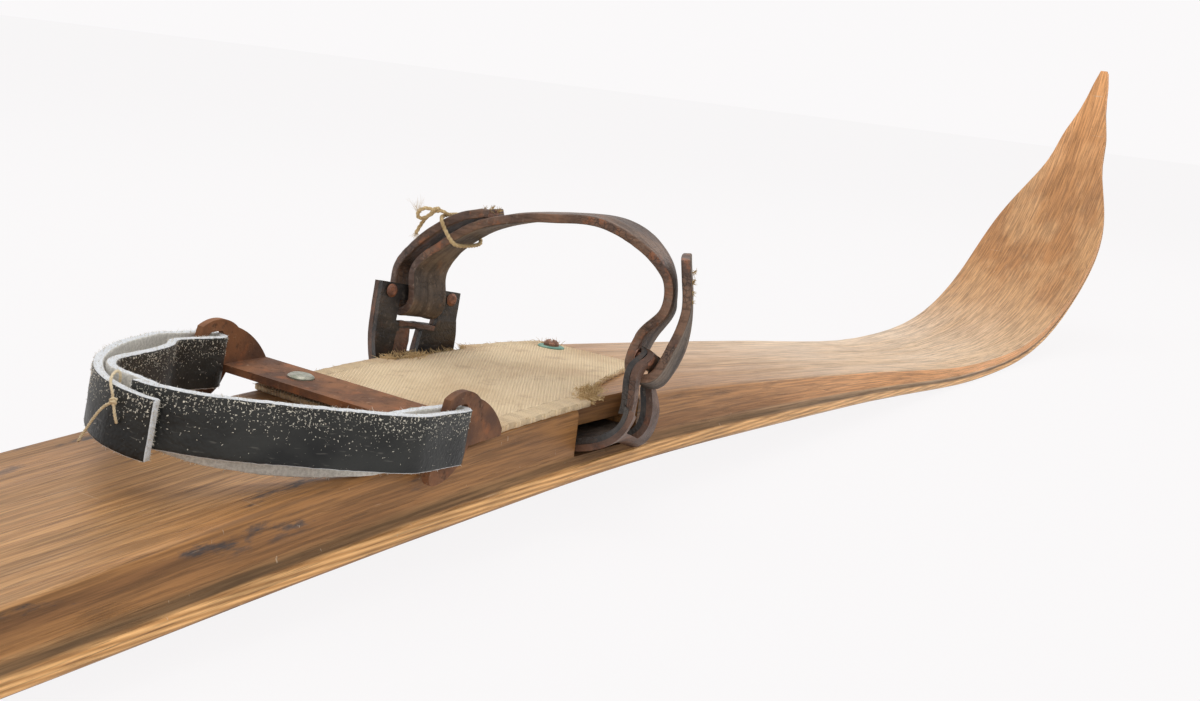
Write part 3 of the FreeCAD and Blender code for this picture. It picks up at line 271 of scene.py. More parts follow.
def aged_wood():
    """Old varnished wood: rings, pores and fibres along the plank, with its stains and wear, painted shade on
    the sides and in the cove, and a painted highlight on the flange.
    """
    made, tree, shader = new_material("aged_wood")
    point = from_coords(tree)
    split = place(tree, "SeparateXYZ", {0: point})
    along, aside = split.outputs[0], split.outputs[1]
    upright = place(tree, "SeparateXYZ", {0: place(tree, "NewGeometry").outputs["Normal"]}).outputs[2]
    rise = place(tree, "Attribute", attribute_name="rise").outputs["Fac"]

    # Grain: annual rings sawn lengthwise wander slowly, with fine pores between them. It follows
    # the bend of the tip, where climbing counts as going on along the plank.
    through = times(tree, rise, 0.024)
    climbed = sums(tree, "SUBTRACT", split.outputs[2], through)
    grain = from_parts(tree, sums(tree, "ADD", along, climbed), aside, through)
    sway = noise_of(tree, stretched(tree, grain, (2.2, 9, 9)), 1.0, 2.0)
    wander = times(tree, sway, 0.075)
    across = sums(tree, "ADD", aside, wander)
    depth = times_plus(tree, through, 0.85, across)
    rings = bands(tree, from_parts(tree, depth), 62.0, 1.4, 3.0, 2.0, "SAW")
    pores = mottle(tree, stretched(tree, grain, (48, 1250, 1250)), 1.0, 0.55, 0.68, 3.0, 0.6)
    fibre = noise_of(tree, stretched(tree, grain, (28, 1100, 1100)), 1.0, 6.0, 0.65)
    streaks = mottle(tree, stretched(tree, grain, (5, 90, 90)), 1.0, 0.4, 0.66, 4.0)
    broad = mottle(tree, stretched(tree, grain, (4.5, 18, 18)), 1.0, 0.36, 0.64, 3.0)

    honey = two_tone(tree, broad, (0.49, 0.265, 0.105), (0.36, 0.17, 0.06))
    paled = two_tone(tree, broad, (0.84, 0.52, 0.26), (0.66, 0.40, 0.185))
    honey = mix(tree, between(tree, along, -0.20, -0.37), honey, paled)
    honey = painted(tree, honey, (0.30, 0.14, 0.05), rings, 0.55)
    honey = painted(tree, honey, (0.22, 0.125, 0.06), streaks, 0.42)
    ahead = between(tree, along, 0.02, 0.36)
    bleached = two_tone(tree, broad, (0.76, 0.585, 0.42), (0.66, 0.47, 0.30))
    bleached = painted(tree, bleached, (0.42, 0.26, 0.14), rings, 0.22)
    colour = mix(tree, ahead, honey, bleached)
    up_tip = between(tree, along, 0.50, 0.72)
    blotch = mottle(tree, stretched(tree, point, (16, 26, 16)), 1.0, 0.42, 0.6, 4.0)
    tanned = two_tone(tree, blotch, (0.53, 0.285, 0.125), (0.42, 0.195, 0.07))
    colour = mix(tree, up_tip, colour, tanned)

    # Zones across the section: the side stained and darkened by painted shade, the cove dark with grime and
    # painted shade, the sole flange golden with a painted highlight.
    # Faces turned sideways take a darker tone, part stain and part painted shade.
    sidelong = between(tree, upright, 0.75, 0.35)
    side_only = times(tree, sidelong, between(tree, rise, 0.36, 0.46))
    side_stain_and_shade = two_tone(tree, streaks, (0.35, 0.165, 0.055), (0.17, 0.075, 0.028))
    front_side_stain_and_shade = two_tone(tree, streaks, (0.86, 0.42, 0.17), (0.64, 0.30, 0.115))
    side_stain_and_shade = mix(tree, ahead, side_stain_and_shade, front_side_stain_and_shade)
    colour = mix(tree, times(tree, side_only, 0.92), colour, side_stain_and_shade)
    # Painted shade darkens the recessed cove, and grime patches make it darker in places.
    cove_low, cove_high = between(tree, rise, 0.22, 0.27), between(tree, rise, 0.42, 0.31)
    cove_grime_and_shade = times(tree, cove_low, cove_high)
    grime = mottle(tree, stretched(tree, point, (7, 40, 40)), 1.0, 0.3, 0.62, 5.0)
    cove_grime_and_shade = times(tree, cove_grime_and_shade, times_plus(tree, grime, 0.45, 0.5))
    colour = painted(tree, colour, (0.12, 0.075, 0.04), cove_grime_and_shade, 0.85)
    # The flange's faces are painted bright gold: its own colour, brightened by a painted highlight.
    flange = times(tree, between(tree, rise, 0.27, 0.22), between(tree, upright, -0.55, -0.2))
    fine = bands(tree, from_parts(tree, times_plus(tree, sway, 0.006, split.outputs[2])), 190.0, 1.0, 2.0)
    flange_gold_and_highlight = two_tone(tree, fine, (0.92, 0.53, 0.22), (0.52, 0.26, 0.09))
    colour = mix(tree, times(tree, flange, 0.85), colour, flange_gold_and_highlight)

    # Wear: blue-black smudges along the upper edge behind the binding, dents and pale scratches.
    edge_y = sums(tree, "ABSOLUTE", aside)
    near_edge = times(tree, between(tree, edge_y, 0.017, 0.036), between(tree, rise, 0.5, 0.7))
    behind = times(tree, between(tree, along, -0.05, -0.13), between(tree, along, -0.48, -0.3))
    ink = mottle(tree, stretched(tree, point, (26, 95, 95)), 1.0, 0.56, 0.66, 6.0, 0.65)
    ink = times(tree, ink, times(tree, near_edge, times_plus(tree, behind, 0.8, 0.12)))
    colour = painted(tree, colour, (0.055, 0.05, 0.052), ink)
    worn = mottle(tree, stretched(tree, point, (9, 60, 60)), 1.0, 0.6, 0.72, 5.0)
    colour = painted(tree, colour, (0.19, 0.115, 0.065), worn, 0.35)
    colour = painted(tree, colour, (0.17, 0.085, 0.035), pores, 0.5)
    scratch = mottle(tree, stretched(tree, grain, (30, 900, 400), (0, 0, 0.5)), 1.0, 0.735, 0.76, 2.0)
    cross_scratch = mottle(tree, stretched(tree, point, (700, 24, 300), (0, 0, 0.35)), 1.0, 0.74, 0.765, 2.0)
    marks = times(tree, sums(tree, "MAXIMUM", scratch, cross_scratch), 0.45)
    colour = painted(tree, colour, (0.66, 0.52, 0.38), marks)
    fibred = between(tree, fibre, 0.36, 0.64, 0.7, 1.24)
    colour = mix(tree, 1.0, colour, from_parts(tree, fibred, fibred, fibred), "MULTIPLY")
    tree.links.new(colour, shader.inputs["Base Color"])
    shader.inputs["Specular IOR Level"].default_value = 0.28
    gloss = times_plus(tree, streaks, 0.12, 0.42)
    tree.links.new(times_plus(tree, cove_grime_and_shade, 0.3, gloss), shader.inputs["Roughness"])
    relief = times_plus(tree, pores, -0.5, times(tree, rings, -0.3))
    relief = times_plus(tree, worn, -0.6, relief)
    raised(tree, shader, times_plus(tree, marks, -1.0, relief), 0.5, 0.0004)
    return made


def dress(node, name, material, body, edge=0.0, wobble=0.0, wobble_size=0.01, sharp=34):
    """A merged copy of a CAD solid's mesh, with eased edges and an uneven, handled surface."""
    mesh = nodes[node].data.copy()
    mesh.name = name
    mesh.materials.clear()
    mesh.materials.append(material)
    shell = bmesh.new()
    shell.from_mesh(mesh)
    for layer in list(shell.loops.layers.uv):
        shell.loops.layers.uv.remove(layer)
    bmesh.ops.remove_doubles(shell, verts=shell.verts, dist=1e-6)
    if wobble:
        for vert in shell.verts:
            drift = noise.noise_vector(vert.co / wobble_size)
            vert.co += drift * wobble
    for face in shell.faces:
        face.smooth = True
    for seam in shell.edges:
        seam.smooth = len(seam.link_faces) == 2 and seam.calc_face_angle(0) < math.radians(sharp)
    shell.to_mesh(mesh)
    shell.free()
    piece = bpy.data.objects.new(name, mesh)
    scene.collection.objects.link(piece)
    if edge:
        ease = piece.modifiers.new("eased_edges", "BEVEL")
        ease.width = edge
        ease.segments = 2
        ease.limit_method = "ANGLE"
        ease.angle_limit = math.radians(sharp)
        ease.harden_normals = False
    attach(piece, body)
    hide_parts(node)
    return piece


plank = dress("ski", "ski_plank", aged_wood(), "ski", edge=0.8 * MM)
plank_tree = bvhtree.BVHTree.FromObject(plank, bpy.context.evaluated_depsgraph_get())
UP = Vector((0, 0, 1))
# "rise" is each vertex's share of the height from the sole to the top. Both are met a little
# inside the vertex, so that the flange doesn't count as the top, but clear of the sole's groove.
INSIDE_FLANGE, INSIDE_RIM, CLEAR_OF_GROOVE = 0.75, 0.95, 9 * MM
UNDER_PLANK, OVER_PLANK = -0.05, 0.4
rise_layer = plank.data.attributes.new("rise", "FLOAT", "POINT")
for index, vert in enumerate(plank.data.vertices):
    aside = abs(vert.co.y)
    sample_y = math.copysign(max(aside * INSIDE_FLANGE, min(aside * INSIDE_RIM, CLEAR_OF_GROOVE)), vert.co.y)
    below = plank_tree.ray_cast(Vector((vert.co.x, sample_y, UNDER_PLANK)), UP)[0]
    above = plank_tree.ray_cast(Vector((vert.co.x, sample_y, OVER_PLANK)), -UP)[0]
    tall = (above.z - below.z) if above and below else 0
    rise_layer.data[index].value = (vert.co.z - below.z) / tall if tall > 1e-5 else 0.5

# ---------------------------------------------------------------------------------------------
# The foot pad: a piece of heavy cotton webbing laid over the ski under the iron, held by the
# iron's screws and one washer. It is torn away at its near front corner and frayed all round.
# ---------------------------------------------------------------------------------------------
class Fibres:
    """Loose fibres, each two thin three-sided spikes with a kink between them."""

    BATCH = 30
    TAPER = 0.45
    OVERLAP = 0.94

    def __init__(self):
        self.whole = bmesh.new()
        self.batch = bmesh.new()
        self.count = 0

    def add(self, root, lean, length, width, bend, seed):
        """One fibre from its root, leaning one way and bent by chance."""
        luck = random.Random(seed)
        direction = Vector(lean).normalized()
        at = Vector(root)
        reach = length / 2
        for part in range(2):
            direction = (direction + Vector([luck.uniform(-bend, bend) for _ in range(3)])).normalized()
            turn = direction.to_track_quat("Z", "Y").to_matrix().to_4x4()
            thick = width / 2 * (1 - self.TAPER * part)
            bmesh.ops.create_cone(self.batch, cap_ends=True, segments=3, radius1=thick, radius2=thick * 0.5,
                                  depth=reach, matrix=Matrix.Translation(at + direction * reach / 2) @ turn)
            at = at + direction * reach * self.OVERLAP
        self.count += 1
        if self.count % self.BATCH == 0:
            self.gather()

    def gather(self):
        """Moves the batch into the whole, because operators slow down on a large mesh."""
        mesh = bpy.data.meshes.new("fibres")
        self.batch.to_mesh(mesh)
        self.whole.from_mesh(mesh)
        bpy.data.meshes.remove(mesh)
        self.batch.clear()

    def shell(self):
        """All the fibres as one bmesh."""
        self.gather()
        self.batch.free()
        return self.whole


def as_piece(name, shell, materials):
    """Turns a bmesh into a piece of the scene."""
    mesh = bpy.data.meshes.new(name)
    shell.to_mesh(mesh)
    shell.free()
    for material in materials:
        mesh.materials.append(material)
    piece = bpy.data.objects.new(name, mesh)
    scene.collection.objects.link(piece)
    return piece


PAD_CELL = 1.5 * MM
PAD_COLUMNS, PAD_ROWS = 120, 58
PAD_MIDDLE = -3 * MM
PAD_THICKNESS = 2.3 * MM
PAD_REST = 0.12 * MM
PAD_LEAST = 0.5 * MM
RIM_WIDTH, RIM_DROP = 3 * MM, 0.5 * MM
PAD_OUTLINE = [Vector(corner) * MM for corner in (
    (-92, -40), (-68, -43), (-7, -43), (-1, -38), (19, -28), (45, -20), (84, -9), (86, 0), (85, 42), (29, 43),
    (26, 38), (-3, 37), (-18, 38), (-22, 43), (-86, 43))]


def within(spot):
    """Whether a spot lies inside the pad's outline."""
    inside = False
    for start, end in zip(PAD_OUTLINE, PAD_OUTLINE[1:] + PAD_OUTLINE[:1]):
        if (start.y > spot.y) != (end.y > spot.y):
            if spot.x < start.x + (end.x - start.x) * (spot.y - start.y) / (end.y - start.y):
                inside = not inside
    return inside


def nearest_on_outline(spot):
    """The closest point of the pad's outline."""
    best = None
    for start, end in zip(PAD_OUTLINE, PAD_OUTLINE[1:] + PAD_OUTLINE[:1]):
        run = end - start
        t = min(1.0, max(0.0, (spot - start).dot(run) / run.length_squared))
        found = start + run * t
        if best is None or (found - spot).length < (best - spot).length:
            best = found
    return best


def top_of_plank(spot):
    """The ski's height under a spot; the y is halved to stay off the cut-out sides."""
    return plank_tree.ray_cast(Vector((spot.x, spot.y * 0.5, 0.1)), -UP)[0].z


iron = bmesh.new()
iron.from_mesh(nodes["cross_iron"].data)
iron_tree = bvhtree.BVHTree.FromBMesh(iron)
iron.free()
web = bmesh.new()
bmesh.ops.create_grid(web, x_segments=PAD_COLUMNS, y_segments=PAD_ROWS, size=0.5)
for vert in web.verts:
    vert.co = Vector(((vert.co.x * PAD_COLUMNS) * PAD_CELL + PAD_MIDDLE, vert.co.y * PAD_ROWS * PAD_CELL, 0))
outside = [face for face in web.faces if not within(face.calc_center_median().to_2d())]
bmesh.ops.delete(web, geom=outside, context="FACES")
for vert in web.verts:
    if vert.is_boundary:
        edge_spot = nearest_on_outline(vert.co.to_2d())
        worn_by = 0.5 * MM * noise.noise(Vector((edge_spot.x * 300, edge_spot.y * 300, 1)))
        vert.co.xy = edge_spot + (vert.co.to_2d() - edge_spot) * 0.1 + Vector((worn_by, worn_by))
for vert in web.verts:
    vert.co.z = top_of_plank(vert.co) + PAD_REST
over = bmesh.ops.extrude_face_region(web, geom=list(web.faces))["geom"]
for vert in [item for item in over if isinstance(item, bmesh.types.BMVert)]:
    base = vert.co.z
    edge_gap = (vert.co.to_2d() - nearest_on_outline(vert.co.to_2d())).length
    rolled = RIM_DROP * max(0.0, 1 - edge_gap / RIM_WIDTH)
    wave = noise.noise(Vector((vert.co.x * 55, vert.co.y * 42, 4))) * 0.35 * MM
    top = base + PAD_THICKNESS + wave - rolled
    hit = iron_tree.ray_cast(Vector((vert.co.x, vert.co.y, base)), UP)[0]
    if hit is not None:
        top = min(top, max(hit.z - 0.1 * MM, base + PAD_LEAST))
    vert.co.z = top
bmesh.ops.recalc_face_normals(web, faces=web.faces)
for face in web.faces:
    face.smooth = True


def twill():
    """Herringbone cotton webbing: diagonal ribs, a zigzag selvedge, stains and dust."""
    made, tree, shader = new_material("canvas_web")
    point = from_coords(tree)
    split = place(tree, "SeparateXYZ", {0: point})
    stain = mottle(tree, point, 26.0, 0.38, 0.66, 5.0, 0.6)
    colour = two_tone(tree, stain, (0.83, 0.64, 0.40), (0.68, 0.49, 0.28))
    zig = place(tree, "Math", {0: split.outputs[0], 1: 0.0038}, operation="PINGPONG").outputs[0]
    hem = between(tree, sums(tree, "ABSOLUTE", split.outputs[1]), 0.0355, 0.0362)
    lean = times(tree, zig, hem)
    lift = times_plus(tree, split.outputs[0], -0.62, times_plus(tree, lean, 1.3, split.outputs[1]))
    ribs = bands(tree, from_parts(tree, lift), 235.0, 0.6, 2.0, 3.0)
    threads = bands(tree, point, 420.0, 1.2, 2.0)
    weave = times_plus(tree, threads, 0.35, ribs)
    colour = painted(tree, colour, (0.36, 0.25, 0.135), between(tree, weave, 0.55, 0.05), 0.5)
    soiled = mottle(tree, point, 75.0, 0.55, 0.72, 6.0, 0.65)
    colour = painted(tree, colour, (0.40, 0.235, 0.11), soiled, 0.5)
    rusty = mottle(tree, stretched(tree, point, (20, 30, 20), move=(0.3, 0.1, 0)), 1.0, 0.48, 0.68, 4.0)
    colour = painted(tree, colour, (0.50, 0.27, 0.12), rusty, 0.35)
    tree.links.new(colour, shader.inputs["Base Color"])
    shader.inputs["Roughness"].default_value = 0.92
    shader.inputs["Sheen Weight"].default_value = 0.2
    raised(tree, shader, weave, 0.8, 0.00045)
    return made


canvas = twill()
foot_pad = as_piece("foot_pad_web", web, (canvas,))
loose = Fibres()
chance = random.Random(5)


def thread_colour():
    """Loose cotton fibres, paler and darker along their length."""
    made, tree, shader = new_material("frayed_cotton")
    point = from_coords(tree)
    tone = mottle(tree, point, 160.0, 0.35, 0.65, 3.0)
    colour = two_tone(tree, tone, (0.62, 0.45, 0.24), (0.42, 0.275, 0.125))
    tree.links.new(colour, shader.inputs["Base Color"])
    shader.inputs["Roughness"].default_value = 0.95
    return made


# where it frays: along an outline run, how many fibres, how long, how far up they stand
FRAYED_RUNS = (
    (2, 3, 60, 3.0, 0.5), (3, 4, 110, 3.2, 0.6), (4, 5, 80, 2.6, 0.5), (5, 6, 60, 2.0, 0.4),
    (6, 7, 40, 2.0, 0.3), (7, 8, 60, 1.6, 0.3), (8, 9, 70, 2.2, 0.4), (9, 10, 30, 3.0, 0.6),
    (10, 11, 110, 4.2, 0.5), (11, 12, 60, 3.6, 0.6), (12, 13, 40, 2.6, 0.6), (13, 14, 60, 1.6, 0.3),
    (14, 0, 90, 2.0, 0.3), (0, 1, 20, 1.4, 0.2), (1, 2, 50, 1.0, 0.2))
for start, end, count, reach, lift_by in FRAYED_RUNS:
    run = PAD_OUTLINE[end] - PAD_OUTLINE[start]
    outward = Vector((run.y, -run.x)).normalized()
    for one in range(count):
        spot = PAD_OUTLINE[start] + run * chance.random() - outward * chance.uniform(0, 0.8) * MM
        root = Vector((spot.x, spot.y, top_of_plank(spot) + PAD_REST + chance.uniform(0.5, 2.0) * MM))
        aside = run.normalized() * chance.uniform(-1.0, 1.0)
        lean = (outward.x + aside.x, outward.y + aside.y, chance.uniform(0, lift_by))
        loose.add(root, lean, chance.uniform(0.4, 1.0) * reach * MM, chance.uniform(0.18, 0.4) * MM, 0.5,
                  700 + one * 31 + start)
# matted clumps: where each is centred, how far it spreads, how many fibres it has
CLUMPS = ((-3, -39, 5.5, 330), (7, -34, 5.0, 260), (-8, 38, 7.0, 200), (-19, 40, 4.0, 90), (80, 33, 5.0, 120))
for middle_x, middle_y, spread, count in CLUMPS:
    for one in range(count):
        spot = Vector((middle_x + chance.gauss(0, spread * 0.5),
                       middle_y + chance.gauss(0, spread * 0.35))) * MM
        root = Vector((spot.x, spot.y, top_of_plank(spot) + PAD_THICKNESS + chance.uniform(-0.8, 0.3) * MM))
        lean = (chance.uniform(-1, 1), chance.uniform(-1, 1), chance.uniform(0, 0.7))
        loose.add(root, lean, chance.uniform(1.2, 3.6) * MM, chance.uniform(0.25, 0.5) * MM, 0.8,
                  5000 + one * 17 + count)
loose_threads = as_piece("foot_pad_frays", loose.shell(), (thread_colour(),))
for piece in (foot_pad, loose_threads):
    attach(piece, "ski")
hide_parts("foot_pad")

# ---------------------------------------------------------------------------------------------
# The heel iron: a wrought plate whose ends are turned up into two hooked ears, screwed across
# the ski under the heel strap. It is rusted all over, darker where hands and leather rub it.
# ---------------------------------------------------------------------------------------------
def rusted(name, bright, dull, pit_scale=260.0, rough=0.78):
    """Rust in soft patches, with dark pits and a sandy surface."""
    made, tree, shader = new_material(name)
    point = from_coords(tree)
    patches = mottle(tree, point, 55.0, 0.36, 0.66, 6.0, 0.62)
    colour = two_tone(tree, patches, dull, bright)
    bloom = mottle(tree, point, 150.0, 0.52, 0.7, 5.0, 0.6)
    colour = painted(tree, colour, (0.33, 0.115, 0.04), bloom, 0.55)
    pits = mottle(tree, point, pit_scale, 0.56, 0.7, 4.0, 0.6)
    colour = painted(tree, colour, (0.055, 0.03, 0.018), pits, 0.6)
    dust = mottle(tree, point, 420.0, 0.66, 0.74, 2.0)
    colour = painted(tree, colour, (0.42, 0.29, 0.19), dust, 0.3)
    tree.links.new(colour, shader.inputs["Base Color"])
    tree.links.new(times_plus(tree, pits, 0.12, rough), shader.inputs["Roughness"])
    tree.links.new(times_plus(tree, patches, -0.15, 0.25), shader.inputs["Metallic"])
    grit = noise_of(tree, point, 700.0, 5.0, 0.65)
    raised(tree, shader, times_plus(tree, pits, -0.7, grit), 0.6, 0.00035)
    return made


dress("cross_iron", "heel_iron", rusted("rusty_iron", (0.24, 0.10, 0.04), (0.10, 0.046, 0.026)), "ski",
      edge=0.45 * MM)

# ---------------------------------------------------------------------------------------------
# The screws: two flat steel ones in the iron, worn smooth and dulled grey-green, and a rusty
# domed one on a verdigrised copper washer, which holds the front of the pad.
# ---------------------------------------------------------------------------------------------
def dulled_metal(name, ground, bloom, metallic, rough, scale=420.0):
    """A worn metal with a second colour blooming over it."""
    made, tree, shader = new_material(name)
    point = from_coords(tree)
    over = mottle(tree, point, scale, 0.42, 0.62, 5.0, 0.6)
    specks = mottle(tree, point, scale * 3, 0.58, 0.7, 3.0)
    colour = two_tone(tree, over, ground, bloom)
    dark = tuple(part * 0.3 for part in ground)
    colour = painted(tree, colour, dark, specks, 0.6)
    tree.links.new(colour, shader.inputs["Base Color"])
    shader.inputs["Metallic"].default_value = metallic
    tree.links.new(times_plus(tree, over, 0.2, rough), shader.inputs["Roughness"])
    raised(tree, shader, times_plus(tree, specks, -0.6, over), 0.35, 0.0002)
    return made


dull_steel = dulled_metal("grey_steel", (0.33, 0.32, 0.26), (0.22, 0.235, 0.18), 0.55, 0.34)
for side in ("far", "near"):
    dress(f"iron_screw_{side}", f"iron_screw_{side}_head", dull_steel, "ski", edge=0.15 * MM)
dress("pad_washer", "copper_washer",
      dulled_metal("green_copper", (0.11, 0.25, 0.20), (0.27, 0.42, 0.34), 0.15, 0.6, 300.0), "ski",
      edge=0.15 * MM)
dress("pad_screw", "domed_screw",
      dulled_metal("rusty_screw", (0.27, 0.13, 0.08), (0.17, 0.085, 0.055), 0.35, 0.5, 350.0), "ski",
      edge=0.15 * MM)

# ---------------------------------------------------------------------------------------------
# The mortise strap: two layers of harness leather through the ski, whose upturned ends are
# slotted to hold the toe strap. Handling has polished it brown; its edges crack and redden.
# ---------------------------------------------------------------------------------------------
def crackle_group():
    """Fine dry cracks between the cells of a leather's surface, as a mask."""
    group = bpy.data.node_groups.new("crackle", "ShaderNodeTree")
    face = group.interface
    face.new_socket("Vector", in_out="INPUT", socket_type="NodeSocketVector")
    for name, value in (("Scale", 300.0), ("Width", 0.06), ("Reach", 0.5)):
        face.new_socket(name, in_out="INPUT", socket_type="NodeSocketFloat").default_value = value
    face.new_socket("Cracks", in_out="OUTPUT", socket_type="NodeSocketFloat")
    entry = group.nodes.new("NodeGroupInput").outputs
    bend_by = place(group, "TexNoise", {"Vector": entry["Vector"], "Scale": entry["Scale"], "Detail": 2.0})
    shifted = place(group, "VectorMath", {0: bend_by.outputs["Color"], 1: (0.0022, 0.0022, 0.0022)},
                    operation="MULTIPLY")
    moved = place(group, "VectorMath", {0: entry["Vector"], 1: shifted.outputs[0]}, operation="ADD")
    cells = place(group, "TexVoronoi", {"Vector": moved.outputs[0], "Scale": entry["Scale"]},
                  feature="DISTANCE_TO_EDGE")
    line = place(group, "MapRange", {"Value": cells.outputs["Distance"], "From Min": entry["Width"],
                                     "From Max": 0.0}, interpolation_type="SMOOTHSTEP")
    some = place(group, "TexNoise", {"Vector": entry["Vector"], "Scale": 70.0, "Detail": 3.0})
    there = place(group, "MapRange", {"Value": some.outputs["Fac"], "From Min": entry["Reach"],
                                      "From Max": 0.72}, interpolation_type="SMOOTHSTEP")
    both = place(group, "Math", {0: line.outputs["Result"], 1: there.outputs["Result"]}, operation="MULTIPLY")
    leave = group.nodes.new("NodeGroupOutput")
    group.links.new(both.outputs[0], leave.inputs["Cracks"])
    return group


CRACKLE = crackle_group()


def old_leather(name, face, deep, rust, reddened, on="Object", dusty=0.35, rough=0.5, fibre=(60, 200, 200)):
    """Dried harness leather: two browns, rust-red wear, cracks and pale dust in its grain."""
    made, tree, shader = new_material(name)
    point = from_coords(tree, on)
    patches = mottle(tree, point, 60.0, 0.38, 0.62, 5.0, 0.6)
    colour = two_tone(tree, patches, deep, face)
    strands = mottle(tree, stretched(tree, point, fibre), 1.0, 0.44, 0.68, 4.0, 0.6)
    colour = painted(tree, colour, [part * 0.42 for part in deep], strands, 0.5)
    worn = mottle(tree, point, 95.0, 0.55, 0.68, 6.0, 0.66)
    colour = painted(tree, colour, rust, worn, reddened)
    dust = mottle(tree, point, 520.0, 0.54, 0.72, 4.0, 0.6)
    dust = times(tree, dust, mottle(tree, point, 80.0, 0.42, 0.62, 3.0))
    colour = painted(tree, colour, (0.36, 0.29, 0.23), dust, dusty)
    crack_node = place(tree, "Group", node_tree=CRACKLE)
    tree.links.new(point, crack_node.inputs["Vector"])
    crack_node.inputs["Scale"].default_value = 420.0
    crack_node.inputs["Width"].default_value = 0.09
    crack_node.inputs["Reach"].default_value = 0.4
    cracks = crack_node.outputs["Cracks"]
    colour = painted(tree, colour, (0.016, 0.011, 0.009), cracks, 0.75)
    tree.links.new(colour, shader.inputs["Base Color"])
    gloss = times_plus(tree, strands, 0.14, rough)
    tree.links.new(times_plus(tree, dust, 0.2, gloss), shader.inputs["Roughness"])
    grain = noise_of(tree, point, 900.0, 3.0)
    relief = times_plus(tree, cracks, -1.2, times_plus(tree, strands, -0.6, grain))
    raised(tree, shader, relief, 0.55, 0.0004)
    return made


RUST_RED = (0.24, 0.082, 0.034)
brown_leather = old_leather("brown_leather", (0.145, 0.07, 0.04), (0.075, 0.036, 0.022), RUST_RED, 0.5)
dress("mortise_strap", "mortise_strap_outer", brown_leather, "ski", edge=0.4 * MM,
      wobble=0.15 * MM, wobble_size=9 * MM)
dress("mortise_strap_lining", "mortise_strap_inner",
      old_leather("blackened_leather", (0.05, 0.036, 0.026), (0.018, 0.015, 0.014), (0.12, 0.06, 0.034), 0.35,
                  dusty=0.3, rough=0.42), "ski", edge=0.4 * MM,
      wobble=0.35 * MM, wobble_size=9 * MM)
worn_copper = dulled_metal("copper_rivet", (0.26, 0.105, 0.055), (0.13, 0.06, 0.04), 0.35, 0.45, 380.0)
for end in ("near", "far"):
    for which in ("rear", "front"):
        dress(f"{end}_rivet_{which}", f"{end}_rivet_{which}_head", worn_copper, "ski",
              edge=0.25 * MM)
dress("old_strap_sleeve", "old_strap_remnant",
      old_leather("remnant_leather", (0.20, 0.095, 0.055), (0.10, 0.047, 0.03), RUST_RED, 0.5), "ski",
      edge=0.3 * MM)

# ---------------------------------------------------------------------------------------------
# The toe strap: one strap over the boot, threaded through both slotted ends like a chain link
# and turned back on itself. It is stiff and cracked, darker inside, with its edges worn red.
# ---------------------------------------------------------------------------------------------
def eased_path(stations, step):
    """Evenly spaced (point, across, width, distance) along a smooth line through the stations."""
    spots = [Vector(spot) * MM for spot, _, _ in stations]
    marks = [0.0]
    for before, after in zip(spots, spots[1:]):
        marks.append(marks[-1] + (after - before).length)
    last = len(spots) - 1
    slopes = []
    for index in range(last + 1):
        low, high = max(index - 1, 0), min(index + 1, last)
        slopes.append((spots[high] - spots[low]) / (marks[high] - marks[low]))
    fine = []
    count = round(marks[-1] / step)
    for part in range(count + 1):
        at = marks[-1] * part / count
        index = max(k for k in range(last) if marks[k] <= at + 1e-9)
        span = marks[index + 1] - marks[index]
        t = (at - marks[index]) / span
        spot = (spots[index] * (2 * t ** 3 - 3 * t ** 2 + 1) + spots[index + 1] * (3 * t ** 2 - 2 * t ** 3)
                + slopes[index] * span * (t ** 3 - 2 * t ** 2 + t)
                + slopes[index + 1] * span * (t ** 3 - t ** 2))
        across = Vector(stations[index][1]).lerp(Vector(stations[index + 1][1]), t)
        width = stations[index][2] * (1 - t) + stations[index + 1][2] * t
        fine.append((spot, across, width * MM, at))
    return fine


def strip_frames(line):
    """For each spot on a line: its place, the direction across and the face's own direction."""
    frames = []
    for index, (spot, across, width, at) in enumerate(line):
        ahead = line[min(index + 1, len(line) - 1)][0] - line[max(index - 1, 0)][0]
        ahead.normalize()
        across = (across - ahead * across.dot(ahead)).normalized()
        frames.append((spot, across, ahead.cross(across), width, at))
    return frames


def laid_grid(columns, rows, lay):
    """A grid put where lay(column, row share) says; lay also gives the UV, in metres."""
    cloth = bmesh.new()
    bmesh.ops.create_grid(cloth, x_segments=columns, y_segments=rows, size=0.5)
    uv = cloth.loops.layers.uv.verify()
    flat = {}
    for vert in cloth.verts:
        vert.co, flat[vert] = lay(round((vert.co.x + 0.5) * columns), vert.co.y + 0.5)
    for face in cloth.faces:
        face.smooth = True
        for loop in face.loops:
            loop[uv].uv = flat[loop.vert]
    return cloth


CUT_EDGE = 0.55 * MM
HIDE_SWELL = 0.25 * MM


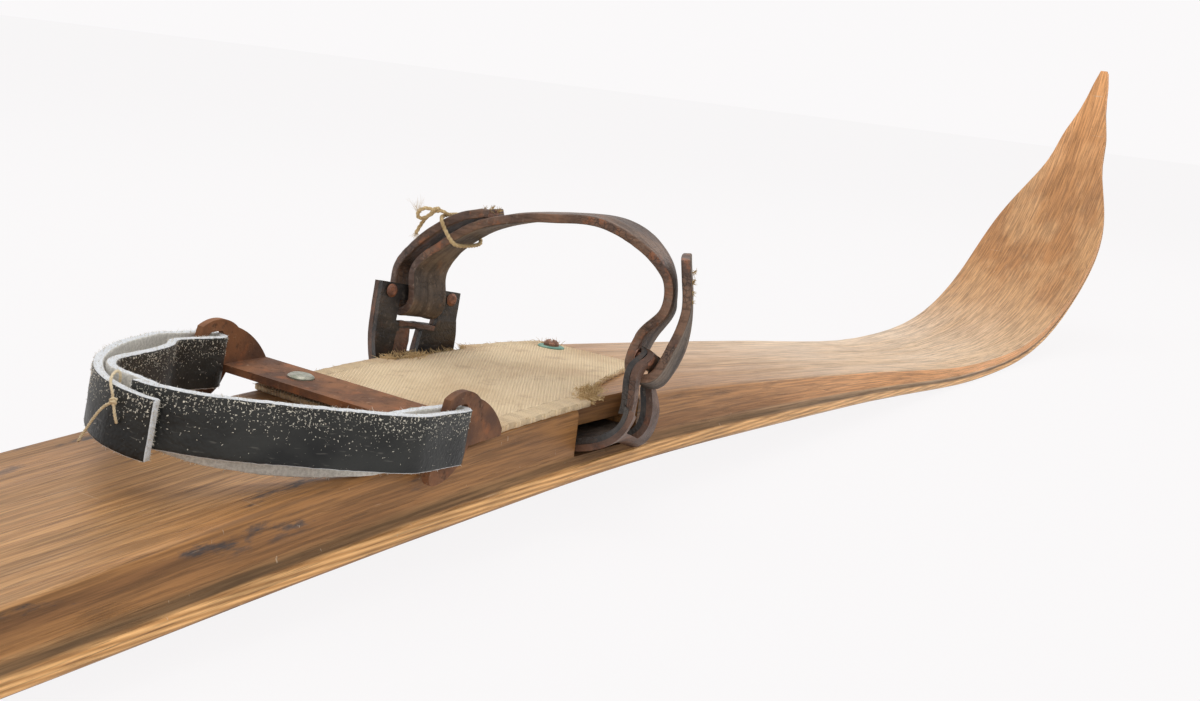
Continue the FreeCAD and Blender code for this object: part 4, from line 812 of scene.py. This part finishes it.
def cut_strap(name, frames, thickness, materials, ragged, cup=0.0, ribs=12):
    """A strap of one hide thickness: its grain side, flesh side and cut edges differ."""
    def lay(column, share_across):
        # cupped a little across, swelling along, with its cut edges wandering
        spot, across, out, width, at = frames[column]
        aside = share_across - 0.5
        rim = abs(aside) * 2
        edge_drift = noise.noise(Vector((at * 260, 3.1 * round(aside), 7.0))) * ragged * rim ** 6
        swell = noise.noise(Vector((at * 70, aside * 4, 2.0))) * HIDE_SWELL
        place_at = spot + across * (aside * width + math.copysign(edge_drift, aside)) + out * (
            swell + cup * (rim ** 2 - 0.4))
        return place_at, (at, aside * width)

    piece = as_piece(name, laid_grid(len(frames) - 1, ribs, lay), materials)
    hide = piece.modifiers.new("hide", "SOLIDIFY")
    hide.thickness = thickness
    hide.offset = 0
    hide.material_offset = 1
    hide.material_offset_rim = 2
    rounded = piece.modifiers.new("rounded", "BEVEL")
    rounded.width = CUT_EDGE
    rounded.segments = 3
    rounded.limit_method = "ANGLE"
    rounded.angle_limit = math.radians(50)
    rounded.material = -1
    return piece


TOE_WIDTH = 16.5
TOE_THICKNESS = 3.4
LOOP_LEG = 5.6
LOOP_BOTTOM = 5.5 + TOE_THICKNESS / 2
NEAR_BRIDGE = Vector((17, -52, 58))
FAR_BRIDGE = Vector((1.5, 45.6, 66.6))


def squared(vector, direction):
    """A vector with its part along a direction taken away."""
    return (vector - direction * vector.dot(direction)).normalized()


near_across = Vector((0.92, 0.245, -0.307)).normalized()
near_up = squared(Vector((0.324, -0.183, 0.93)), near_across)
near_out = near_across.cross(near_up)
far_across = Vector((0.969, -0.2, -0.144)).normalized()
far_up = squared(Vector((-0.06, 0.08, 1.0)), far_across)
far_out = far_up.cross(far_across)


def round_bridge(bridge, across, up, out):
    """Stations round the leather a loop hangs on, from the inner leg to the outer one."""
    rise = LOOP_LEG - LOOP_BOTTOM
    turned = []
    for angle in (0, 45, 90, 135, 180):
        bend = math.radians(angle)
        turned.append((bridge - out * (LOOP_LEG * math.cos(bend)) + up * (rise - LOOP_LEG * math.sin(bend)),
                       across, TOE_WIDTH))
    return turned


ARCH_ACROSS = Vector((1, 0, 0))
toe_stations = [((6.5, 17.5, 102.6), ARCH_ACROSS, TOE_WIDTH), ((5.5, 26, 100), ARCH_ACROSS, TOE_WIDTH),
                ((4, 36.5, 93.5), ARCH_ACROSS, TOE_WIDTH),
                ((2.5, 45.5, 84.5), Vector((0.99, -0.1, 0)), TOE_WIDTH),
                (FAR_BRIDGE + far_out * (LOOP_LEG + 0.6) + far_up * 9, far_across, TOE_WIDTH)]
toe_stations += round_bridge(FAR_BRIDGE, far_across, far_up, far_out)[::-1]
toe_stations += [((1.5, 41.6, 76.5), Vector((0.98, -0.2, -0.1)), TOE_WIDTH),
                 ((4, 35, 86.5), ARCH_ACROSS, TOE_WIDTH), ((5.5, 22, 96.3), ARCH_ACROSS, TOE_WIDTH),
                 ((7, 6, 102.3), ARCH_ACROSS, TOE_WIDTH), ((9, -14, 105.8), ARCH_ACROSS, TOE_WIDTH),
                 ((12, -32, 106.4), ARCH_ACROSS, TOE_WIDTH),
                 ((14.6, -46.2, 100.8), Vector((0.97, 0.22, 0.06)), TOE_WIDTH),
                 ((17.6, -54.6, 91), Vector((0.92, 0.38, 0)), TOE_WIDTH),
                 ((18.4, -55.4, 79), Vector((0.91, 0.36, -0.15)), TOE_WIDTH),
                 (NEAR_BRIDGE - near_out * (LOOP_LEG + 0.3) + near_up * 8, near_across, TOE_WIDTH)]
toe_stations += round_bridge(NEAR_BRIDGE, near_across, near_up, near_out)
toe_stations += [(NEAR_BRIDGE + near_out * (LOOP_LEG + 0.5) + near_up * 9, near_across, TOE_WIDTH),
                 ((21, -61.6, 80), Vector((0.89, 0.42, -0.15)), TOE_WIDTH),
                 ((19, -59.6, 98.5), Vector((0.89, 0.42, -0.1)), TOE_WIDTH)]
# leather left in the torn far end: from and to, across and up from its bridge, then width and depth
FAR_TEARS = (((-8.6, -12.2), (9.4, -12.0), 2.0, 3.6), ((-5.9, -12.9), (-5.3, -24.0), 6.4, 2.6))
for number, (start, end, wide, deep) in enumerate(FAR_TEARS):
    ends = [FAR_BRIDGE + far_across * a + far_up * b + far_out * -0.2 for a, b in (start, end)]
    ahead = (ends[1] - ends[0]).normalized()
    aside = ahead.cross(far_out)
    middle = (ends[0] + ends[1]) / 2 - far_out * 0.3
    torn = strip_frames(eased_path([(ends[0], aside, wide), (middle, aside, wide * 1.1),
                                    (ends[1], aside, wide * 0.9)], 0.8 * MM))
    flap = cut_strap(f"far_end_torn_{number}", torn, deep * MM, (brown_leather, brown_leather, brown_leather),
                     0.5 * MM, ribs=6)
    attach(flap, "ski")
toe_frames = strip_frames(eased_path(toe_stations, 1.2 * MM))
toe_grain = old_leather("dark_leather", (0.17, 0.095, 0.056), (0.07, 0.04, 0.026), RUST_RED, 0.55, "UV", 0.5,
                        0.46, (50, 260, 1))
toe_flesh = old_leather("dark_leather_flesh", (0.165, 0.115, 0.078), (0.062, 0.042, 0.029),
                        (0.25, 0.125, 0.06), 0.55, "UV", 0.6, 0.62, (40, 340, 1))
toe_edge = old_leather("dark_leather_edge", (0.21, 0.115, 0.07), (0.10, 0.055, 0.038),
                       (0.33, 0.12, 0.05), 0.8, "Object", 0.45, 0.55, (90, 90, 700))
toe_strap = cut_strap("toe_strap_band", toe_frames, TOE_THICKNESS * MM, (toe_grain, toe_flesh, toe_edge),
                      0.35 * MM, cup=-0.35 * MM)
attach(toe_strap, "toe_loop")
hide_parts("toe_strap")

# ---------------------------------------------------------------------------------------------
# The twine on the toe strap: laid hemp, wound once round the arch and the strap's loose tail
# and tied off in a small bow. It keeps the tail from lifting.
# ---------------------------------------------------------------------------------------------
def spline_line(points, closed=False):
    """Points read from a smooth NURBS spline with the given control points."""
    curve = bpy.data.curves.new("route", "CURVE")
    curve.dimensions = "3D"
    spline = curve.splines.new("NURBS")
    spline.points.add(len(points) - 1)
    for knot, point in zip(spline.points, points):
        knot.co = (*point, 1)
    spline.order_u = 3
    if closed:
        spline.use_cyclic_u = True
    else:
        spline.use_endpoint_u = True
    spline.resolution_u = 16
    holder = bpy.data.objects.new("route", curve)
    mesh = bpy.data.meshes.new_from_object(holder)
    line = [vert.co.copy() for vert in mesh.vertices]
    bpy.data.objects.remove(holder)
    bpy.data.meshes.remove(mesh)
    bpy.data.curves.remove(curve)
    return line


TWINE_SIDES = 18


def laid_twine(name, line, diameter, turn_length, material, strands=3, closed=False):
    """A laid cord along a line: a lobed section that turns as it goes, open ends closed."""
    points = line + line[:1] if closed else line
    marks = [0.0]
    for before, after in zip(points, points[1:]):
        marks.append(marks[-1] + (after - before).length)
    turns = max(1, round(marks[-1] / turn_length))
    frames = []
    side = None
    for index, point in enumerate(points):
        ahead = (points[min(index + 1, len(points) - 1)] - points[max(index - 1, 0)]).normalized()
        if side is None:
            side = ahead.orthogonal().normalized()
        side = (side - ahead * side.dot(ahead)).normalized()
        frames.append((point, side, ahead.cross(side)))

    def lay(column, share_round):
        # a round section with one lobe for each strand
        point, first, second = frames[column]
        angle = share_round * math.tau
        twist = turns * math.tau * marks[column] / marks[-1]
        radius = diameter / 2 * (0.86 + 0.14 * math.cos(strands * angle))
        place_at = point + (first * math.cos(angle + twist) + second * math.sin(angle + twist)) * radius
        return place_at, (marks[column], share_round * diameter * math.pi)

    shell = laid_grid(len(points) - 1, TWINE_SIDES, lay)
    bmesh.ops.remove_doubles(shell, verts=shell.verts, dist=1e-7)
    bmesh.ops.holes_fill(shell, edges=[edge for edge in shell.edges if len(edge.link_faces) == 1])
    bmesh.ops.recalc_face_normals(shell, faces=shell.faces)
    return as_piece(name, shell, (material,))


def twine_stuff(name, pale, dark, rough=0.8):
    """Laid vegetable fibre: light strands with darker grooves and grime."""
    made, tree, shader = new_material(name)
    point = from_coords(tree)
    fibres = noise_of(tree, point, 1500.0, 4.0, 0.7)
    grime = mottle(tree, point, 240.0, 0.4, 0.66, 4.0)
    colour = two_tone(tree, grime, pale, dark)
    colour = painted(tree, colour, [part * 0.5 for part in dark], between(tree, fibres, 0.5, 0.7), 0.4)
    tree.links.new(colour, shader.inputs["Base Color"])
    tree.links.new(times_plus(tree, fibres, 0.2, rough - 0.1), shader.inputs["Roughness"])
    shader.inputs["Sheen Weight"].default_value = 0.25
    raised(tree, shader, fibres, 0.6, 0.0002)
    return made


def joined(name, parts, material):
    """Several shells as one piece."""
    whole = bmesh.new()
    for part in parts:
        whole.from_mesh(part.data)
        spent = part.data
        bpy.data.objects.remove(part)
        bpy.data.meshes.remove(spent)
    return as_piece(name, whole, (material,))


hemp = twine_stuff("twisted_twine", (0.62, 0.46, 0.24), (0.40, 0.27, 0.12))
RING_MIDDLE = Vector((4.6, 30.4, 94.1)) * MM
RING_OUT = Vector((0, 0.62, 0.785)).normalized()
TWINE_WIDTH = 1.7 * MM
RING_HALF = TOE_WIDTH / 2 * MM + 1.15 * MM
RING_DEEP = 6.7 * MM
# the ring's corners, as shares of its half width and half depth
ring_corners = [(1, -0.7), (1, 0.75), (0.62, 1), (-0.62, 1), (-1, 0.75), (-1, -0.7), (-0.7, -1), (0.7, -1)]
ring_points = [RING_MIDDLE + ARCH_ACROSS * (RING_HALF * a * (1.04 if abs(b) < 0.8 else 1))
               + RING_OUT * (RING_DEEP * b * 1.03) for a, b in ring_corners]
lashing = laid_twine("toe_lashing", spline_line(ring_points, closed=True), TWINE_WIDTH, 5.2 * MM, hemp,
                     closed=True)
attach(lashing, "toe_loop")
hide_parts("toe_twine")
KNOT = RING_MIDDLE - ARCH_ACROSS * (RING_HALF + 0.4 * MM) + RING_OUT * (RING_DEEP + 2.2 * MM)


def about_knot(offsets):
    """Places given in millimetres from the middle of the knot."""
    return [KNOT + ARCH_ACROSS * (a * MM) + Vector((0, b * MM, c * MM)) for a, b, c in offsets]


bow_routes = (
    [(0.2, 0.4, -0.5), (-1.6, 1.8, 0.6), (-3.4, 3.8, 0.2), (-4.2, 5.4, -1.8), (-3.0, 5.6, -3.8),
     (-1.4, 4.0, -3.6), (0.0, 1.6, -1.6), (0.4, 0.2, 0.2)],
    [(-1.0, -0.8, 0.6), (0.4, -1.2, 0.9), (1.3, 0.2, 0.5), (0.6, 1.3, -0.4), (-0.9, 1.1, -0.6),
     (-1.5, 0, 0.4), (-0.6, -0.9, 0.9)],
    [(0.3, 0.2, 0.2), (-0.6, 2.0, -1.6), (-1.2, 4.2, -4.2), (-0.8, 6.4, -7.2), (-1.2, 7.4, -9.6)],
    [(0.2, 0.0, -0.4), (1.4, -1.4, 0.2), (2.4, -2.6, -0.6), (3.6, -3.2, -1.2)])
bow_parts = [laid_twine(f"bow_{index}", spline_line(about_knot(route)), 1.55 * MM, 5 * MM, hemp)
             for index, route in enumerate(bow_routes)]
whiskers = Fibres()
chance = random.Random(31)
for one in range(26):
    start = about_knot([(-3.6 + chance.uniform(-0.8, 0.8), 5.2 + chance.uniform(-0.8, 0.8), -1.6)])[0]
    lean = (chance.uniform(-0.5, 0.3), chance.uniform(-0.2, 0.5), 1.0)
    whiskers.add(start, lean, chance.uniform(3, 7.5) * MM, 0.14 * MM, 0.4, 400 + one)
for one in range(30):
    start = about_knot([(-1.2 + chance.uniform(-0.5, 0.5), 7.3 + chance.uniform(-0.4, 0.4), -9.4)])[0]
    lean = (chance.uniform(-0.6, 0.6), chance.uniform(-0.3, 0.6), -1.0)
    whiskers.add(start, lean, chance.uniform(1.5, 3.5) * MM, 0.2 * MM, 0.4, 500 + one)
bow_parts.append(as_piece("bow_whiskers", whiskers.shell(), (hemp,)))
bow = joined("toe_twine_bow", bow_parts, hemp)
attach(bow, "toe_loop")
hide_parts("toe_twine_knot")

# ---------------------------------------------------------------------------------------------
# Stitching left in the toe strap: short ends of thick waxed thread, where a repair was sewn
# through the outer leg and the tail. Each is a tuft of fibres pulled out of its hole.
# ---------------------------------------------------------------------------------------------
def tuft(fibres, root, out, count, reach, spread, seed):
    """A bunch of fibres standing out of one hole."""
    luck = random.Random(seed)
    for one in range(count):
        lean = Vector(out) + Vector([luck.uniform(-spread, spread) for _ in range(3)])
        shift = Vector([luck.uniform(-0.45, 0.45) * MM for _ in range(3)])
        fibres.add(Vector(root) + shift, lean, luck.uniform(0.5, 1.0) * reach, 0.34 * MM, 0.6,
                   seed * 97 + one)


stitches = Fibres()
outer_face = Vector((0.42, -0.89, 0.1)).normalized()
SEAM_HEIGHTS, SEAM_ASIDES = (93.0, 89.5, 85.5, 82.0), (-3.2, 1.4)
TAIL_HOLES = ((5.2, 21.0, 103.2), (7.4, 19.0, 103.8), (9.0, 17.2, 103.2), (4.4, 18.0, 103.4),
              (10.6, 18.0, 102.6))
for row, height in enumerate(SEAM_HEIGHTS):
    for column, aside in enumerate(SEAM_ASIDES):
        spot = Vector((20.4 + aside * 0.89, -61.4 + aside * 0.42 - 0.1 * row, height)) * MM
        spot += outer_face * 1.2 * MM
        tuft(stitches, spot, outer_face, 9, 2.1 * MM, 0.8, 11 + row * 3 + column)
for column, hole in enumerate(TAIL_HOLES):
    tuft(stitches, Vector(hole) * MM, (0.1, -0.5, 0.8), 12, 2.6 * MM, 0.8, 61 + column)
ochre = twine_stuff("ochre_thread", (0.60, 0.42, 0.18), (0.36, 0.22, 0.08))
sewing = as_piece("toe_strap_stitches", stitches.shell(), (ochre,))
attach(sewing, "toe_loop")

# ---------------------------------------------------------------------------------------------
# The heel strap: one newly cut strip of black harness leather, wound twice between the iron's
# ears with its grey suede inwards. The knife left pale fuzz along both edges and both ends.
# ---------------------------------------------------------------------------------------------
STRAP_MIDDLE = Vector((-107, 0, 48.85)) * MM
strap_turn = (Matrix.Rotation(math.radians(4.72), 4, "Z") @ Matrix.Rotation(math.radians(2.66), 4, "X")
              @ Matrix.Rotation(math.radians(4.6), 4, "Y"))
strap_seat = Matrix.Translation(STRAP_MIDDLE) @ strap_turn
HEEL_WIDTH = 17.2
HEEL_THICKNESS = 2.8
# the middle of the strap's thickness, in millimetres: along the ski, across it and up
HEEL_ROUTE = (
    (-72.2, 3.5, 0), (-70.4, -4.5, 0), (-63, -16.5, 0), (-45, -32, 0), (-24, -46.3, 0),
    (-14.6, -50.9, 0), (-9.6, -51.5, 0), (0, -51.5, 0), (9.65, -51.5, 0), (11.8, -50.6, 0),
    (12.65, -48.5, 0), (11.8, -46.4, 0), (9.65, -45.5, 0), (0, -45.5, 0), (-9.6, -45.5, 0),
    (-14.6, -44.8, -0.5), (-24, -39.9, -2.8), (-43.5, -27, -4.2), (-59.5, -12.8, -3.2),
    (-66.3, -2.5, -1.2), (-68.4, 7, 0), (-65.5, 18, 0), (-57.5, 25.2, 0), (-47, 29, 0), (-36, 32.2, 0),
    (-22, 38, 0), (-14.6, 43.3, 0), (-9.6, 44.5, 0), (0, 44.5, 0), (8.65, 44.5, 0), (11.5, 45.7, 0),
    (12.65, 48.5, 0), (11.5, 51.3, 0), (8.65, 52.5, 0), (0, 52.5, 0), (-9.6, 52.5, 0),
    (-14.6, 51.7, 0), (-22, 48.9, 0), (-37.2, 42.6, 0), (-50.3, 35.2, 0), (-61.5, 27.2, -0.4),
    (-70.8, 16.9, -1), (-75, 7, -1.8), (-75.2, -2.5, -2.6), (-74.5, -7.6, -2.7))
heel_up = strap_turn.to_3x3() @ UP
heel_stations = [(tuple(strap_seat @ (Vector(spot) * MM) / MM), heel_up, HEEL_WIDTH) for spot in HEEL_ROUTE]
heel_frames = strip_frames(eased_path(heel_stations, 1.1 * MM))


def black_grain():
    """Black pebbled grain, with white crumbs of hide caught in it towards its upper edge."""
    made, tree, shader = new_material("black_leather")
    flat = from_coords(tree, "UV")
    upward_share = between(tree, place(tree, "SeparateXYZ", {0: flat}).outputs[1], -0.006, 0.0086)
    smoky = mottle(tree, stretched(tree, flat, (45, 70, 1)), 1.0, 0.35, 0.68, 4.0)
    colour = two_tone(tree, smoky, (0.006, 0.0065, 0.0065), (0.028, 0.029, 0.027))
    colour = painted(tree, colour, (0.05, 0.05, 0.044), upward_share, 0.3)
    specks = noise_of(tree, flat, 1100.0, 3.0, 0.6)
    least = times_plus(tree, upward_share, -0.10, 0.695)
    flecks = between(tree, sums(tree, "SUBTRACT", specks, least), 0.0, 0.02)
    flecks = times(tree, flecks, mottle(tree, flat, 140.0, 0.3, 0.5, 3.0))
    colour = painted(tree, colour, (0.78, 0.74, 0.63), flecks)
    rubbed = mottle(tree, stretched(tree, flat, (160, 900, 1)), 1.0, 0.62, 0.72, 3.0)
    colour = painted(tree, colour, (0.22, 0.21, 0.19), rubbed, 0.28)
    tree.links.new(colour, shader.inputs["Base Color"])
    tree.links.new(times_plus(tree, flecks, 0.4, times_plus(tree, smoky, 0.12, 0.4)),
                   shader.inputs["Roughness"])
    shader.inputs["Specular IOR Level"].default_value = 0.3
    pebbles = place(tree, "TexVoronoi", {"Vector": flat, "Scale": 1150.0},
                    feature="SMOOTH_F1").outputs["Distance"]
    swells = noise_of(tree, flat, 420.0, 2.0)
    relief = times_plus(tree, flecks, 1.2, times_plus(tree, pebbles, -0.8, swells))
    raised(tree, shader, relief, 0.5, 0.0003)
    return made


def pale_hide(name, light, shade, scale, on="UV"):
    """Suede or a cut edge: short pale fibres with a little grey between them."""
    made, tree, shader = new_material(name)
    flat = from_coords(tree, on)
    nap = noise_of(tree, flat, scale, 6.0, 0.72)
    clouds = mottle(tree, flat, 60.0, 0.38, 0.64, 4.0)
    colour = two_tone(tree, between(tree, nap, 0.38, 0.62), shade, light)
    colour = painted(tree, colour, shade, clouds, 0.25)
    tree.links.new(colour, shader.inputs["Base Color"])
    tree.links.new(times_plus(tree, nap, 0.1, 0.82), shader.inputs["Roughness"])
    shader.inputs["Sheen Weight"].default_value = 0.3
    raised(tree, shader, nap, 0.7, 0.0004)
    return made


suede = pale_hide("grey_suede", (0.72, 0.70, 0.65), (0.50, 0.48, 0.44), 900.0)
cut_hide = pale_hide("pale_cut_edge", (0.80, 0.83, 0.87), (0.60, 0.62, 0.65), 1300.0, "Object")
heel_strap = cut_strap("heel_strap_strip", heel_frames, HEEL_THICKNESS * MM, (black_grain(), suede, cut_hide),
                       0.35 * MM)
fuzz = Fibres()
chance = random.Random(7)
# along both edges, then at both ends, then scattered over the grain side
for one in range(1700):
    spot, across, out, width, at = heel_frames[chance.randrange(1, len(heel_frames) - 1)]
    edge_side = 1 if chance.random() < 0.6 else -1
    through = chance.uniform(-0.5, 0.5)
    root = spot + across * (edge_side * width * 0.496) + out * (through * HEEL_THICKNESS * MM * 0.92)
    along_strap = across.cross(out)
    lean = across * edge_side * 0.8 + out * through * 2.2 + along_strap * chance.uniform(-0.9, 0.9)
    long_one = chance.random() < 0.05
    fuzz.add(root, lean, (chance.uniform(1.2, 2.4) if long_one else chance.uniform(0.3, 1.0)) * MM,
             chance.uniform(0.12, 0.24) * MM, 0.7, 9000 + one)
for one in range(300):
    spot, across, out, width, at = heel_frames[-1 if one % 2 else 0]
    end_sign = 1 if one % 2 else -1
    aside = chance.uniform(-0.48, 0.48)
    through = chance.uniform(-0.45, 0.45)
    root = spot + across * (aside * width) + out * (through * HEEL_THICKNESS * MM)
    lean = out.cross(across) * -end_sign + across * chance.uniform(-0.6, 0.6) + out * through
    fuzz.add(root, lean, chance.uniform(0.3, 0.9) * MM, chance.uniform(0.15, 0.26) * MM, 0.7, 14000 + one)
for one in range(2600):
    spot, across, out, width, at = heel_frames[chance.randrange(1, len(heel_frames) - 1)]
    rise_share = 0.49 - abs(chance.gauss(0, 0.26))
    if rise_share < -0.45:
        continue
    root = spot + across * (rise_share * width) + out * (HEEL_THICKNESS * 0.5 * MM - 0.06 * MM)
    lean = across * chance.uniform(-1, 1) + across.cross(out) * chance.uniform(-1, 1) + out * 0.35
    fuzz.add(root, lean, chance.uniform(0.25, 0.8) * MM, chance.uniform(0.2, 0.42) * MM, 0.8, 17000 + one)
hide_fuzz = pale_hide("hide_fuzz", (0.74, 0.70, 0.61), (0.56, 0.51, 0.43), 1500.0, "Object")
heel_fuzz = as_piece("heel_strap_fuzz", fuzz.shell(), (hide_fuzz,))
for piece in (heel_strap, heel_fuzz):
    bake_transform(piece)
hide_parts("heel_strap_near_run", "heel_strap_inner_run", "heel_strap_far_run",
            "heel_strap_fold_near", "heel_strap_fold_far")

# ---------------------------------------------------------------------------------------------
# The heel twine: waxed linen, drawn up through the strap, over its upper edge and tied off on
# the outside with one end left hanging. It holds the strap's free end down.
# ---------------------------------------------------------------------------------------------
waxed = twine_stuff("waxed_twine", (0.80, 0.67, 0.45), (0.62, 0.48, 0.28), 0.6)
TWINE_THICK = 0.9
TWINE_LAY = 3.2 * MM
HEEL_TWINE = ((-71.9, 8.6, 2.4), (-71.9, 8.2, 8.4), (-74.5, 7.6, 10.2), (-77.8, 6.8, 8), (-78, 3.4, 2.6),
              (-78.3, 6.6, 0.9), (-78.8, 9.7, -4), (-79.4, 12.6, -10.6))


def seated(spots):
    """Places given in the strap's own directions, in millimetres from the middle of its seat."""
    return [strap_seat @ (Vector(spot) * MM) for spot in spots]


twine_points = seated(HEEL_TWINE)
twine_line = spline_line(twine_points)
heel_twine = laid_twine("heel_twine_cord", twine_line, TWINE_THICK * MM, TWINE_LAY, waxed)
KNOT_TURNS = (
    ((-78.2, 2.6, 3.3), (-78.9, 3.0, 3.8), (-79.1, 4.0, 3.2), (-78.6, 4.3, 2.3), (-78.0, 3.6, 1.8),
     (-78.2, 2.7, 2.4), (-79.0, 2.7, 3.1), (-79.2, 3.7, 2.6)),
    ((-78.4, 3.4, 2.4), (-78.4, 2.9, 0.8), (-78.1, 2.5, -1.2), (-77.4, 2.2, -3)))
knot_parts = [laid_twine(f"heel_knot_{index}", spline_line(seated(route)), TWINE_THICK * MM, TWINE_LAY, waxed)
              for index, route in enumerate(KNOT_TURNS)]
heel_knot = joined("heel_twine_knot_turns", knot_parts, waxed)
for piece in (heel_twine, heel_knot):
    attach(piece, "heel_loop")
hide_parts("heel_twine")
